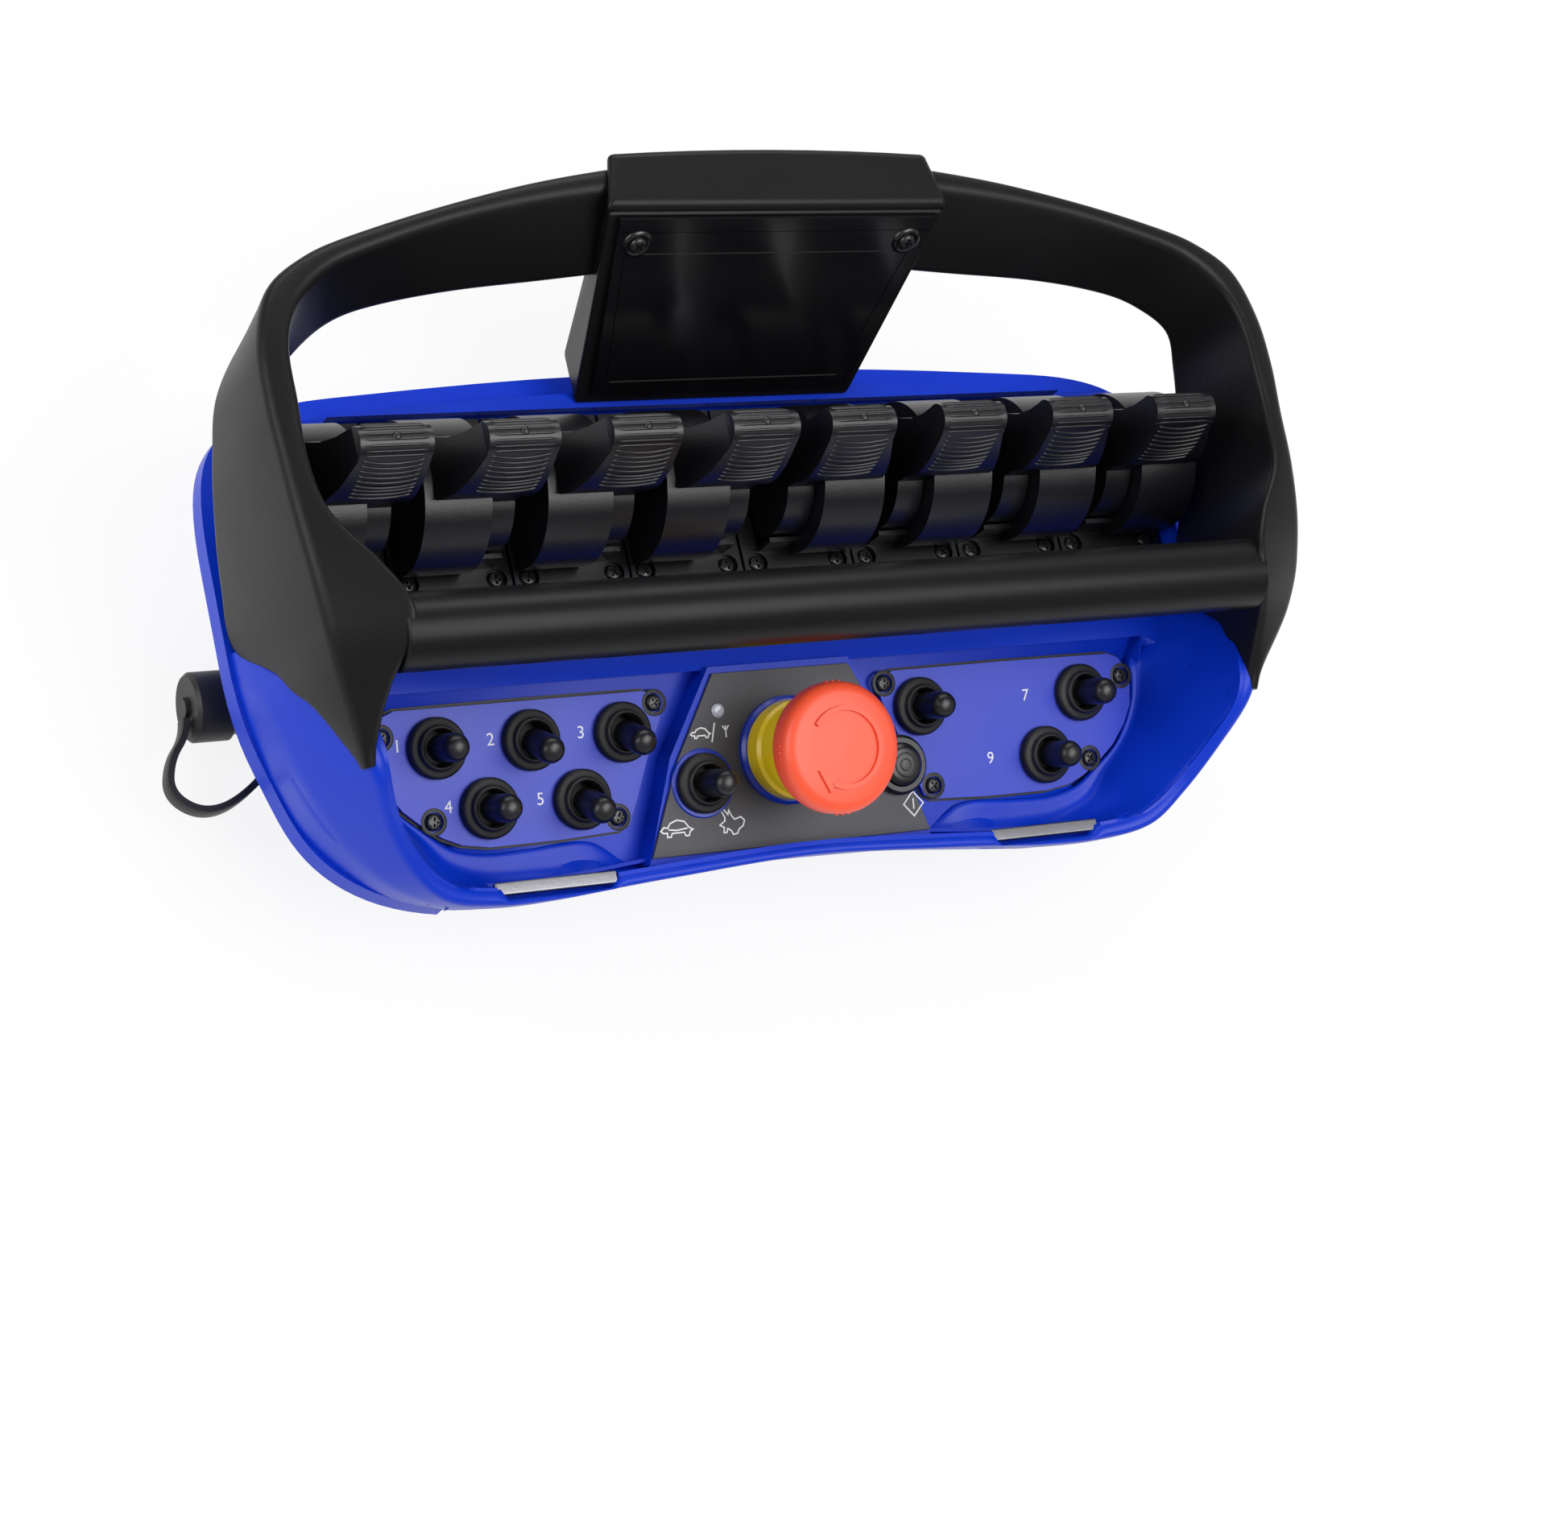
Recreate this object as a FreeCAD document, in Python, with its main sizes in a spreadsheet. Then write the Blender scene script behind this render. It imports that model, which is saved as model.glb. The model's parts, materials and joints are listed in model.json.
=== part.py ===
import FreeCAD, Part
import math
import os
import Sketcher
from FreeCAD import Placement, Rotation, Vector

# A belly-worn radio transmitter for a crane, in millimetres, +Z up.
# The origin is the middle of the underside. Most places are given from the panel datum, which is
# the point of the switch panel under the stop button, so the datum offset is added to each of them.

DIMENSIONS = {
    "datum_back": 64.0,
    "datum_height": 48.0,
    "panel_tilt": 16.8,
    "wall": 3.0,
    "running_gap": 0.4,
    "rim_low": -6.0,
    "rim_high": 2.0,
    "deck_high": 11.0,
    "skirt_low": -18.0,
    "skirt_inset": 8.5,
    "deck_inset": 9.0,
    "tub_inset": 9.0,
    "tub_taper": 15.0,
    "tub_round": 6.0,
    "lever_pitch": 39.66,
    "lever_count": 8,
    "lever_pivot_y": 83.0,
    "lever_pivot_z": 17.0,
    "lever_plate_gap": 0.9,
    "lever_plate_front": 53.6,
    "lever_plate_back": 112.0,
    "lever_plate_top": 6.2,
    "lever_plate_thick": 4.0,
    "lever_screw_x": 14.44,
    "lever_screw_front": 59.86,
    "lever_screw_back": 105.68,
    "dome_radius": 23.3,
    "dome_width": 21.5,
    "dome_shift": 7.6,
    "drum_radius": 17.5,
    "drum_width": 9.4,
    "drum_gap": 0.5,
    "ledge_thick": 1.5,
    "ledge_high": 8.8,
    "paddle_width": 29.5,
    "paddle_shift": -0.6,
    "knob_width": 22.6,
    "knob_shift": 3.0,
    "knob_y": 82.5,
    "knob_z": 64.0,
    "knob_radius": 5.0,
    "screw_head_radius": 2.7,
    "screw_head_height": 1.6,
    "screw_shank_radius": 1.4,
    "screw_length": 7.0,
    "toggle_pitch": 30.62,
    "toggle_first": 52.92,
    "toggle_row": 9.83,
    "toggle_row_gap": 19.17,
    "toggle_height": 18.4,
    "toggle_tilt": 13.0,
    "boot_radius": 9.3,
    "boot_height": 4.5,
    "ball_radius": 6.2,
    "ball_height": 1.0,
    "stem_radius": 3.4,
    "plate_thick": 2.0,
    "gasket_thick": 0.5,
    "centre_height": 7.5,
    "centre_thick": 1.2,
    "centre_top_half": 24.0,
    "centre_top": 25.4,
    "centre_low_half": 49.3,
    "centre_low": -29.2,
    "stop_ring_radius": 16.9,
    "stop_collar_radius": 15.4,
    "stop_head_radius": 20.0,
    "stop_head_top": 44.0,
    "stop_stem_radius": 6.0,
    "start_x": 39.2,
    "start_v": -7.9,
    "start_radius": 9.5,
    "centre_toggle_x": -30.3,
    "centre_toggle_v": -7.8,
    "led_x": -23.2,
    "led_v": 13.9,
    "led_radius": 2.2,
    "tube_radius": 11.25,
    "tube_half": 150.5,
    "tube_y": 25.9,
    "tube_z": 64.0,
    "eye_x": 86.2,
    "eye_half": 20.0,
    "eye_thick": 2.4,
    "connector_y": 38.0,
    "connector_z": -30.0,
    "connector_radius": 9.0,
    "strap_thick": 2.2,
    "strap_width": 6.0,
    "axle_radius": 4.0,
    "cover_foot_y": 114.6,
    "cover_foot_z": 13.1,
    "cover_slope": 63.21143,
    "cover_thick": 2.0,
    "cover_screw_x": 46.7,
    "cover_screw_rise": 61.5,
    "boss_bore": 1.7,
}

# Half of the rim outline seen from above, from the front middle round to the back middle (x, y).
RIM = [(0, -34), (27, -35), (54, -37.5), (76, -39.5), (98, -40.5), (121, -39.2), (136, -35.5),
       (148, -29.5), (157, -21.5), (163.5, -11), (168, 3), (171, 16), (172.5, 34), (172.5, 60),
       (171.5, 90), (168, 103), (160.5, 112.5), (148, 118.5), (120, 122.5), (60, 126), (0, 127)]

# Half of the wall round the switch tray: outer foot, outer waist, outer crest, inner crest, inner
# foot of each section, from the front middle to where the wall dies out under the guard.
TRAY_WALL = [
    [(0, -33, -4.5), (0, -34.3, 2), (0, -36.3, 8), (0, -33.2, 8), (0, -31, -16)],
    [(50, -36, -4.5), (50, -37, 2), (50, -38.7, 8), (50, -35.5, 8), (50, -31.8, -16)],
    [(86, -38.8, -4.5), (86, -39.3, 1), (86, -40.7, 7.5), (86, -37.2, 7.5), (86, -31.5, -16)],
    [(106, -39.2, -4.5), (105.5, -39.2, 1), (106, -40.6, 8.2), (105, -37.2, 8.2), (102, -30.5, -16)],
    [(123.5, -37.6, -4.5), (122, -37, 2), (123, -38.4, 12), (121.5, -35.3, 12), (116, -26, -15)],
    [(139.3, -33.2, -4.5), (137, -31, 4), (135, -30, 18.5), (133, -28, 18.5), (126, -17, -12)],
    [(152.2, -24.3, -4.5), (148, -20.5, 7), (144.5, -19, 30), (142, -18.3, 30), (132, -8, -9)],
    [(161.1, -13, -4.5), (156.5, -9.5, 12), (150.5, -9, 42), (147.2, -9, 42), (136.5, 2, -6)],
    [(166, 0, -4.5), (162, 1.5, 14), (154.5, 0, 45), (149, 0.5, 45), (139, 11, -3)],
    [(169, 12, -4.5), (165.5, 13, 15), (159, 11, 42), (151.5, 11.5, 42), (141, 18, 0)],
    [(170.5, 23, -4.5), (168.5, 23, 14), (165, 23, 34), (154, 23, 34), (143, 24.5, 2)],
    [(171.3, 33, -4.5), (170.3, 32.5, 9), (168, 32, 22), (157, 32, 22), (145, 31, 4)],
    [(171.5, 44, -4.5), (171, 43, 4), (169.5, 42, 12.5), (159, 42, 12.5), (147, 41, 6)],
]

# Half of the guard frame: outer top, inner top, inner low, outer low edge of each section, from the
# front tip over the pillar and round the arch to the middle.
GUARD = [
    [(153.4, -6, 44.4), (152.1, -5.7, 44.6), (152, -4.8, 41.5), (153.2, -5.2, 41.5)],
    [(158.6, 5.5, 52.5), (150.2, 5.5, 55), (150.4, 8.5, 39.5), (159.6, 6.5, 39.5)],
    [(162.6, 14.5, 58.8), (148.2, 14.5, 66.5), (150.2, 18, 37), (164.6, 15, 37)],
    [(165.3, 23.5, 63.4), (146.6, 23.5, 74.5), (150.8, 27, 29.5), (167.4, 23.5, 29)],
    [(167.2, 33, 66.5), (147, 33, 76.5), (153.2, 36, 18.5), (169.3, 33, 18)],
    [(169, 44, 69), (150.8, 43.5, 75.3), (158, 45, 4), (171.5, 44, 3)],
    [(171, 61, 70.3), (161, 60, 73.2), (163, 60, 10), (173.5, 61, 8)],
    [(172, 78, 70.5), (164, 77, 72.2), (164, 77, 17), (174.5, 78, 15)],
    [(173, 95, 71), (164, 93, 72.8), (163, 93, 25), (174.5, 95, 23)],
    [(172, 112, 71.2), (163.5, 110, 73), (160, 109, 34), (172.5, 112, 32)],
    [(166.5, 128, 71.5), (158.5, 123, 73), (152.5, 117, 45), (163, 126, 43)],
    [(154, 137.5, 72.5), (148, 132.5, 73.5), (141.5, 125, 47), (149, 134, 45)],
    [(139, 143.2, 73.5), (134.5, 138, 74.2), (129, 129.5, 48), (134, 140.5, 46)],
    [(109, 151.5, 75), (106, 146.5, 75.5), (104, 133, 50.5), (107, 147, 48)],
    [(76, 159, 76), (75, 152.5, 76.5), (73, 136, 50.5), (75, 152, 48)],
    [(40, 164, 76.8), (40, 156, 77.2), (39, 139, 50.5), (40, 155, 48)],
    [(0, 166, 77), (0, 157, 77.5), (0, 140, 50.5), (0, 156, 48)],
]

# The centre post and its hood: half width and y of the front, the same of the back, and height, from
# foot to top.
POST = [(48.5, 113.6, 48.5, 130.0, 11.0), (49.2, 114.6, 49.2, 131.0, 13.1), (57.8, 145.6, 54.0, 160.5, 74.5)]
HOOD = [(58.5, 147.0, 54.5, 164.5, 74.0), (58.8, 147.8, 54.8, 165.5, 78.4), (56.8, 150.0, 52.8, 164.0, 79.6)]
HOOD_BOW = 1.6

# Half of a switch plate in the panel plane (x, v): the right-hand one, anticlockwise.
PLATE = [(55.5, -20.0), (76, -20.9), (99, -21.0), (108, -19.6), (114, -17.0), (120, -13.2), (126, -8.2),
         (131, -1.8), (134, 4.5), (134.6, 11.5), (133.5, 16.5), (130.5, 20.2), (126.5, 21.7), (84, 22.0),
         (44.5, 21.8), (40.6, 20.6), (38.8, 17.2), (39.6, 12.5), (44, 3.0), (49.5, -11.5), (52.6, -18.5)]
PLATE_SCREWS = [(131.3, 14.1), (116.6, -11.9), (40.9, 18.0), (56.2, -15.8)]

# Side view of the paddle lever (y, z), anticlockwise from its front foot.
PADDLE = [(-9.5, 22.7), (9.5, 22.7), (9.0, 26.0), (6.0, 33.0), (4.6, 40.0), (4.4, 47.0),
          (-5.5, 48.5), (-7.4, 44.0), (-9.8, 38.0), (-11.0, 31.0), (-10.6, 26.0)]

doc = FreeCAD.newDocument("crane_remote")
sheet = doc.addObject("Spreadsheet::Sheet", "Sizes")
for row, (name, value) in enumerate(DIMENSIONS.items(), start=1):
    sheet.set(f"A{row}", name)
    sheet.set(f"B{row}", str(value))
    sheet.setAlias(f"B{row}", name)
doc.recompute()


class Size:
    """A sheet value together with the expression that yields it."""

    def __init__(self, value, text):
        self.value = float(value)
        self.text = text

    def joined(self, other, sign, value):
        return Size(value, f"({self.text} {sign} {as_size(other).text})")

    def __add__(self, other):
        return self.joined(other, "+", self.value + as_size(other).value)

    def __sub__(self, other):
        return self.joined(other, "-", self.value - as_size(other).value)

    def __mul__(self, other):
        return self.joined(other, "*", self.value * as_size(other).value)

    def __neg__(self):
        return Size(-self.value, f"(0 - {self.text})")


def as_size(item):
    return item if isinstance(item, Size) else Size(item, f"({float(item)})")


def size(name):
    return Size(sheet.get(name), f"Sizes.{name}")


def number(name):
    return float(sheet.get(name))


nodes = []
TILT = number("panel_tilt")
PANEL_TURN = Rotation(Vector(1, 0, 0), TILT)
DATUM = Vector(0, -number("datum_back"), number("datum_height"))


def world(x, y, z):
    """A point given from the panel datum, in the model frame."""
    return Vector(x, y, z) + DATUM


def on_panel(x, v, rise=0.0):
    """A point of the tilted panel: across, up the slope, and out of the surface."""
    return DATUM + PANEL_TURN.multVec(Vector(x, v, rise))


def node(label, obj):
    """Registers a finished sub-part under the name of its file."""
    obj.Label = label
    nodes.append(obj)
    return obj


def shape_node(label, shape):
    obj = doc.addObject("Part::Feature", label)
    obj.Shape = shape
    return node(label, obj)


def new_body(label):
    return doc.addObject("PartDesign::Body", label)


def origin_plane(body, role):
    return [f for f in body.Origin.OriginFeatures if f.Role == role][0]


def new_sketch(body, role, lift=None):
    sketch = body.newObject("Sketcher::SketchObject", body.Name + "_sketch")
    sketch.AttachmentSupport = (origin_plane(body, role), [""])
    sketch.MapMode = "FlatFace"
    if lift is not None:
        sketch.setExpression("AttachmentOffset.Base.z", as_size(lift).text)
    return sketch


def tie(sketch, kind, axis_line, geometry, end, coordinate):
    """Holds one coordinate of a sketch point at a sheet value."""
    coordinate = as_size(coordinate)
    if abs(coordinate.value) < 1e-9:
        sketch.addConstraint(Sketcher.Constraint("PointOnObject", geometry, end, axis_line))
        return
    index = sketch.addConstraint(Sketcher.Constraint(kind, -1, 1, geometry, end, coordinate.value))
    sketch.setExpression(f"Constraints[{index}]", coordinate.text)


def outline(sketch, points):
    """Draws a closed outline whose corners follow the sheet."""
    corners = [Vector(as_size(a).value, as_size(b).value, 0) for a, b in points]
    count = len(corners)
    first = sketch.GeometryCount
    for i in range(count):
        sketch.addGeometry(Part.LineSegment(corners[i], corners[(i + 1) % count]), False)
    for i in range(count):
        following = first + (i + 1) % count
        sketch.addConstraint(Sketcher.Constraint("Coincident", first + i, 2, following, 1))
    for i, (a, b) in enumerate(points):
        tie(sketch, "DistanceX", -2, first + i, 1, a)
        tie(sketch, "DistanceY", -1, first + i, 1, b)
    return sketch


def ring(sketch, a, b, radius):
    """Draws a circle whose centre and radius follow the sheet."""
    centre = Vector(as_size(a).value, as_size(b).value, 0)
    radius = as_size(radius)
    index = sketch.addGeometry(Part.Circle(centre, Vector(0, 0, 1), radius.value), False)
    tie(sketch, "DistanceX", -2, index, 3, a)
    tie(sketch, "DistanceY", -1, index, 3, b)
    rule = sketch.addConstraint(Sketcher.Constraint("Radius", index, radius.value))
    sketch.setExpression(f"Constraints[{rule}]", radius.text)
    return sketch


def grow(body, kind, sketch, length, midplane=False, reverse=False):
    feature = body.newObject("PartDesign::" + kind, body.Name + "_" + kind.lower())
    feature.Profile = sketch
    feature.setExpression("Length", as_size(length).text)
    feature.Midplane = midplane
    feature.Reversed = reverse
    sketch.Visibility = False
    return feature


def turn(body, points):
    """Turns a half profile (radius, height) about the body's own Z axis."""
    sketch = outline(new_sketch(body, "XZ_Plane"), points)
    feature = body.newObject("PartDesign::Revolution", body.Name + "_turn")
    feature.Profile = sketch
    feature.ReferenceAxis = (sketch, ["V_Axis"])
    feature.Angle = 360
    return feature


def set_down(body, x, y, z, axis=None, angle=0.0):
    """Places a body at a point given from the datum, on sheet values."""
    if axis is not None:
        body.Placement = Placement(Vector(), Rotation(axis, angle))
    body.setExpression("Placement.Base.x", as_size(x).text)
    body.setExpression("Placement.Base.y", (as_size(y) - size("datum_back")).text)
    body.setExpression("Placement.Base.z", (as_size(z) + size("datum_height")).text)


def set_on_panel(body, x, v, rise, lean):
    """Places a body on the tilted panel, its Z axis out of the surface and leaning to the front."""
    body.Placement = Placement(Vector(), Rotation(Vector(1, 0, 0), TILT + lean))
    slope = "(Sizes.panel_tilt * 1 deg)"
    v = as_size(v).text
    rise = as_size(rise).text
    body.setExpression("Placement.Base.x", as_size(x).text)
    body.setExpression("Placement.Base.y", f"{v} * cos{slope} - {rise} * sin{slope} - Sizes.datum_back")
    body.setExpression("Placement.Base.z", f"{v} * sin{slope} + {rise} * cos{slope} + Sizes.datum_height")
    body.setExpression("Placement.Rotation.Angle", f"(Sizes.panel_tilt + {lean}) * 1 deg")


def mirrored(points):
    """Completes a half outline that runs from the front middle to the back middle."""
    return points + [(-x, y) for x, y in reversed(points[1:-1])]


def rim_curve(distance, height):
    """The rim outline drawn in by a distance, as one smooth closed curve at a height."""
    full = mirrored(RIM)
    widest = max(x for x, y in full)
    front = min(y for x, y in full)
    back = max(y for x, y in full)
    middle = (front + back) / 2
    across = 1 - distance / widest
    along = 1 - distance / (back - middle)
    curve = Part.BSplineCurve()
    curve.interpolate([world(x * across, middle + (y - middle) * along, height) for x, y in full], PeriodicFlag=True)
    return Part.Wire(curve.toShape())


def slab(distance, low, high):
    """A plate of the rim outline between two heights from the datum."""
    return Part.Face(rim_curve(distance, low)).extrude(Vector(0, 0, high - low))


def block(x0, x1, y0, y1, z0, z1):
    return Part.makeBox(x1 - x0, y1 - y0, z1 - z0, world(x0, y0, z0))


def panel_prism(points, low, high):
    """A prism standing on the tilted panel between two rises."""
    corners = [on_panel(x, v, low) for x, v in points]
    face = Part.Face(Part.makePolygon(corners + corners[:1]))
    return face.extrude(PANEL_TURN.multVec(Vector(0, 0, high - low)))


def panel_rod(x, v, radius, low, high):
    return Part.makeCylinder(radius, high - low, on_panel(x, v, low), PANEL_TURN.multVec(Vector(0, 0, 1)))


def flattened(corners):
    """Brings the corners of a section into one plane."""
    count = len(corners)
    middle = sum(corners, Vector()) * (1.0 / count)
    normal = Vector()
    for i in range(count):
        normal += (corners[i] - middle).cross(corners[(i + 1) % count] - middle)
    normal.normalize()
    return [p - normal * (p - middle).dot(normal) for p in corners]


def tapered(levels, bow):
    """A straight-sided solid through four-sided outlines at several heights, its back bowed outwards."""
    wires = []
    for front_half, y_front, back_half, y_back, z in levels:
        back_left = world(-back_half, y_back, z)
        back_right = world(back_half, y_back, z)
        sides = Part.makePolygon([back_left, world(-front_half, y_front, z), world(front_half, y_front, z), back_right])
        back_edge = Part.Arc(back_right, world(0, y_back + bow, z), back_left).toShape()
        wires.append(Part.Wire(sides.Edges + [back_edge]))
    return Part.makeLoft(wires, True, True)


def lofted(half_sections, closing):
    """A smooth solid through a row of sections and their mirror images."""
    other_side = [[(-x, y, z) for x, y, z in section] for section in reversed(half_sections)]
    row = other_side[:-1] + half_sections if closing == "first" else half_sections + other_side[1:]
    wires = []
    for section in row:
        corners = flattened([world(*p) for p in section])
        wires.append(Part.makePolygon(corners + corners[:1]))
    return Part.makeLoft(wires, True, False)


def both_sides(points):
    return [points, [(-x, v) for x, v in reversed(points)]]


def moved_in(points, distance):
    """Moves an outline towards its own inside."""
    count = len(points)
    result = []
    for i in range(count):
        ahead = points[(i + 1) % count]
        behind = points[i - 1]
        along = Vector(ahead[0] - behind[0], ahead[1] - behind[1], 0).normalize()
        result.append((points[i][0] - along.y * distance, points[i][1] + along.x * distance))
    return result


# Where the toggles stand: number, place, and the lean it has at rest.
pitch = size("toggle_pitch")
near = size("toggle_first")
upper = size("toggle_row")
lower = size("toggle_row") - size("toggle_row_gap")
LEAN = number("toggle_tilt")
TOGGLES = [
    ("toggle_1", -(near + pitch * 2), upper, 0.0),
    ("toggle_2", -(near + pitch), upper, LEAN),
    ("toggle_3", -near, upper, LEAN),
    ("toggle_4", -(near + pitch * 1.5), lower, 0.0),
    ("toggle_5", -(near + pitch * 0.5), lower, LEAN),
    ("toggle_6", near, upper, 0.0),
    ("toggle_8", near + pitch * 2, upper, 0.0),
    ("toggle_9", near + pitch * 1.5, lower, 0.0),
    ("toggle_mid", size("centre_toggle_x"), size("centre_toggle_v"), 0.0),
]


def toggle_rise(label):
    """The height of the surface a toggle stands on."""
    return number("centre_height") if label == "toggle_mid" else 0.0


gap = number("running_gap")
wall = number("wall")
shank = number("screw_shank_radius")
screw_length = number("screw_length")
boss_bore = number("boss_bore")
plate_thick = number("plate_thick")
floor_rise = -(plate_thick + number("gasket_thick"))
centre_rise = number("centre_height")
centre_under = centre_rise - number("centre_thick")
hole_radius = number("ball_radius") + gap
UP = Vector(0, 0, 1)
centre_waist = (number("centre_top_half") + number("centre_low_half")) / 2 + 1.5
centre_outline = [(-number("centre_low_half"), number("centre_low")), (number("centre_low_half"), number("centre_low")),
                  (centre_waist, 0.0), (number("centre_top_half"), number("centre_top")),
                  (-number("centre_top_half"), number("centre_top")), (-centre_waist, 0.0)]
CENTRE_HOLES = [(0, 0, number("stop_stem_radius") + 5.2),
                (number("start_x"), number("start_v"), number("start_radius") - 2.5),
                (number("led_x"), number("led_v"), number("led_radius")),
                (number("centre_toggle_x"), number("centre_toggle_v"), hole_radius)]
# The opening under a switch plate through which its switches hang (x, v), right-hand side.
WINDOW = [(60.2, -17.2), (106.8, -17.2), (108.5, -4), (122.0, 1.2), (122.0, 17.6), (45.2, 17.6), (45.2, 2.6), (53, -3)]
# The screws that join the two halves of the case, seen from above (x, y).
BOSSES = [(-128, 12), (128, 12), (-140, 54), (140, 54)]


def module_middle(index):
    return (index - (number("lever_count") - 1) / 2) * number("lever_pitch")


def lever_side(index):
    """+1 for the left four modules, whose drum is on the right, and -1 for the others."""
    return 1 if index < number("lever_count") / 2 else -1


LEVER_SCREWS = [(module_middle(i) + x, y) for i in range(int(number("lever_count")))
                for x in (-number("lever_screw_x"), number("lever_screw_x"))
                for y in (number("lever_screw_front"), number("lever_screw_back"))]

# The upper housing: skirt, rim and deck, the tray with its wall, then the hollows and holes.
base_low = -number("datum_height")
skirt_low = number("skirt_low")
rim_low = number("rim_low")
deck_high = number("deck_high")
tray_back = 26.6
upper_shell = slab(number("skirt_inset"), skirt_low, rim_low)
upper_shell = upper_shell.fuse(slab(0, rim_low, number("rim_high")))
upper_shell = upper_shell.fuse(slab(number("deck_inset"), number("rim_high"), deck_high))
tray_half = [(118, -60), (126, -17), (132, -8), (136.5, 2), (138.2, 11), (139.5, tray_back)]
tray_outline = tray_half + [(-x, v) for x, v in reversed(tray_half)]
upper_shell = upper_shell.cut(panel_prism(tray_outline, floor_rise, 60)).fuse(lofted(TRAY_WALL, "first"))
hollow = slab(number("skirt_inset") + wall, skirt_low, rim_low)
hollow = hollow.fuse(slab(number("deck_inset") + wall, rim_low, deck_high - wall))
above_floor = [(-200, -80), (200, -80), (200, tray_back + wall), (-200, tray_back + wall)]
hollow = hollow.cut(panel_prism(above_floor, floor_rise - wall, 60))
upper_shell = upper_shell.cut(hollow)
for x, y in BOSSES:
    upper_shell = upper_shell.fuse(Part.makeCylinder(5.0, 30, world(x, y, skirt_low)).common(hollow))
front = number("lever_plate_front")
back = number("lever_plate_back")
plate_low = number("lever_plate_top") - number("lever_plate_thick")
deck_half = number("lever_pitch") * number("lever_count") / 2
seat_frame = block(-deck_half - 4, deck_half + 4, front - 5, back + 3, plate_low - wall, plate_low + 1)
seat = block(-deck_half, deck_half, front - gap, back + gap, plate_low, 40)
window = block(-deck_half + 1.0, deck_half - 1.0, front + 9.4, back - 9.4, -40, 40)
upper_shell = upper_shell.fuse(seat_frame).cut(seat).cut(window)
plinth = panel_prism(moved_in(centre_outline, -2.2), floor_rise - wall, centre_under)
upper_shell = upper_shell.fuse(plinth).cut(panel_prism(moved_in(centre_outline, 3.0), floor_rise - wall - 1, 3.0))
cuts = [panel_prism(WINDOW, floor_rise - 30, 2), panel_prism([(-x, v) for x, v in reversed(WINDOW)], floor_rise - 30, 2)]
cuts += [panel_rod(x, v, radius, -10, 20) for x, v, radius in CENTRE_HOLES[:3]]
cuts.append(panel_rod(number("centre_toggle_x"), number("centre_toggle_v"), hole_radius + 0.8, -10, 20))
for side in (-1, 1):
    eye_middle = side * number("eye_x")
    cuts.append(block(eye_middle - number("eye_half"), eye_middle + number("eye_half"), -60, -32.4, -3.5, 40))
    cuts += [panel_rod(side * x, v, shank, -12, 1) for x, v in PLATE_SCREWS]
cuts += [Part.makeCylinder(shank, 12, world(x, y, -6)) for x, y in LEVER_SCREWS]
cuts += [Part.makeCylinder(boss_bore, 7, world(x, y, skirt_low - 1)) for x, y in BOSSES]
for tool in cuts:
    upper_shell = upper_shell.cut(tool)
shape_node("upper_housing", upper_shell)
print("housing solids", len(upper_shell.Solids), "valid", upper_shell.isValid())

# The lower tub, open at the top, with a flat rounded underside, bosses and board posts.
tub_inset = number("tub_inset")
tub_foot = tub_inset + number("tub_taper")
tub = Part.makeLoft([rim_curve(tub_inset, skirt_low), rim_curve(tub_foot, base_low)], True, True)
foot_edges = [e for e in tub.Edges if e.BoundBox.ZMax < 0.01]
tub = tub.makeFillet(number("tub_round"), foot_edges)
tub = tub.cut(Part.makeLoft([rim_curve(tub_inset + wall, skirt_low), rim_curve(tub_foot + wall, base_low + wall)], True, True))
for x, y in BOSSES:
    tub = tub.fuse(Part.makeCylinder(5.0, skirt_low - base_low - wall, world(x, y, base_low + wall)))
    tub = tub.cut(Part.makeCylinder(3.6, 6.0, world(x, y, base_low)))
    tub = tub.cut(Part.makeCylinder(boss_bore, 60, world(x, y, base_low)))
for x in (-104, 104):
    for y in (6, 62):
        tub = tub.fuse(Part.makeCylinder(3.0, 5.0, world(x, y, base_low + wall)))
socket_room = Part.makeCylinder(number("connector_radius"), 40,
                                world(-190, number("connector_y"), number("connector_z")), Vector(1, 0, 0))
tub = tub.cut(socket_room)
shape_node("base_tub", tub)

# The guard: one loop lofted over pillars and arch, the centre post and the hood.
COVER_FOOT = (number("cover_foot_y"), number("cover_foot_z"))
SCREW_PLAY = 0.1
# The front tips of the guard are trimmed square on the tray wall: where they start, the height of
# their underside, and how far back it runs.
TIP_FRONT = -5.2
TIP_LOW = 40.0
TIP_BACK = 6.0
COVER_TURN = Rotation(Vector(1, 0, 0), number("cover_slope"))


def on_cover(x, rise, out):
    """A point of the post's front plane: across, up its slope, and out of it."""
    return world(0, *COVER_FOOT) + COVER_TURN.multVec(Vector(x, rise, out))


def cover_block(half, low, high, inner, outer):
    box = Part.makeBox(2 * half, high - low, outer - inner)
    box.Placement = Placement(on_cover(-half, low, inner), COVER_TURN)
    return box


guard = lofted(GUARD, "last").fuse(tapered(POST, HOOD_BOW)).fuse(tapered(HOOD, HOOD_BOW))
tube_start = world(-number("tube_half"), number("tube_y"), number("tube_z"))
tube_room = Part.makeCylinder(number("tube_radius"), 2 * number("tube_half"), tube_start, Vector(1, 0, 0))
guard = guard.cut(tube_room).cut(cover_block(40, 8, 58, -8, 5))
COVER_SCREWS = [(-number("cover_screw_x"), number("cover_screw_rise")),
                (number("cover_screw_x"), number("cover_screw_rise"))]
for x0, x1 in ((-170, -140), (140, 170)):
    guard = guard.cut(block(x0, x1, -40, TIP_FRONT, 0, 60)).cut(block(x0, x1, -40, TIP_BACK, 0, TIP_LOW))
guard_pieces = sorted(guard.cut(upper_shell).Solids, key=lambda solid: solid.Volume)
guard = guard_pieces[-1]
solid_volume = guard.Volume
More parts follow.
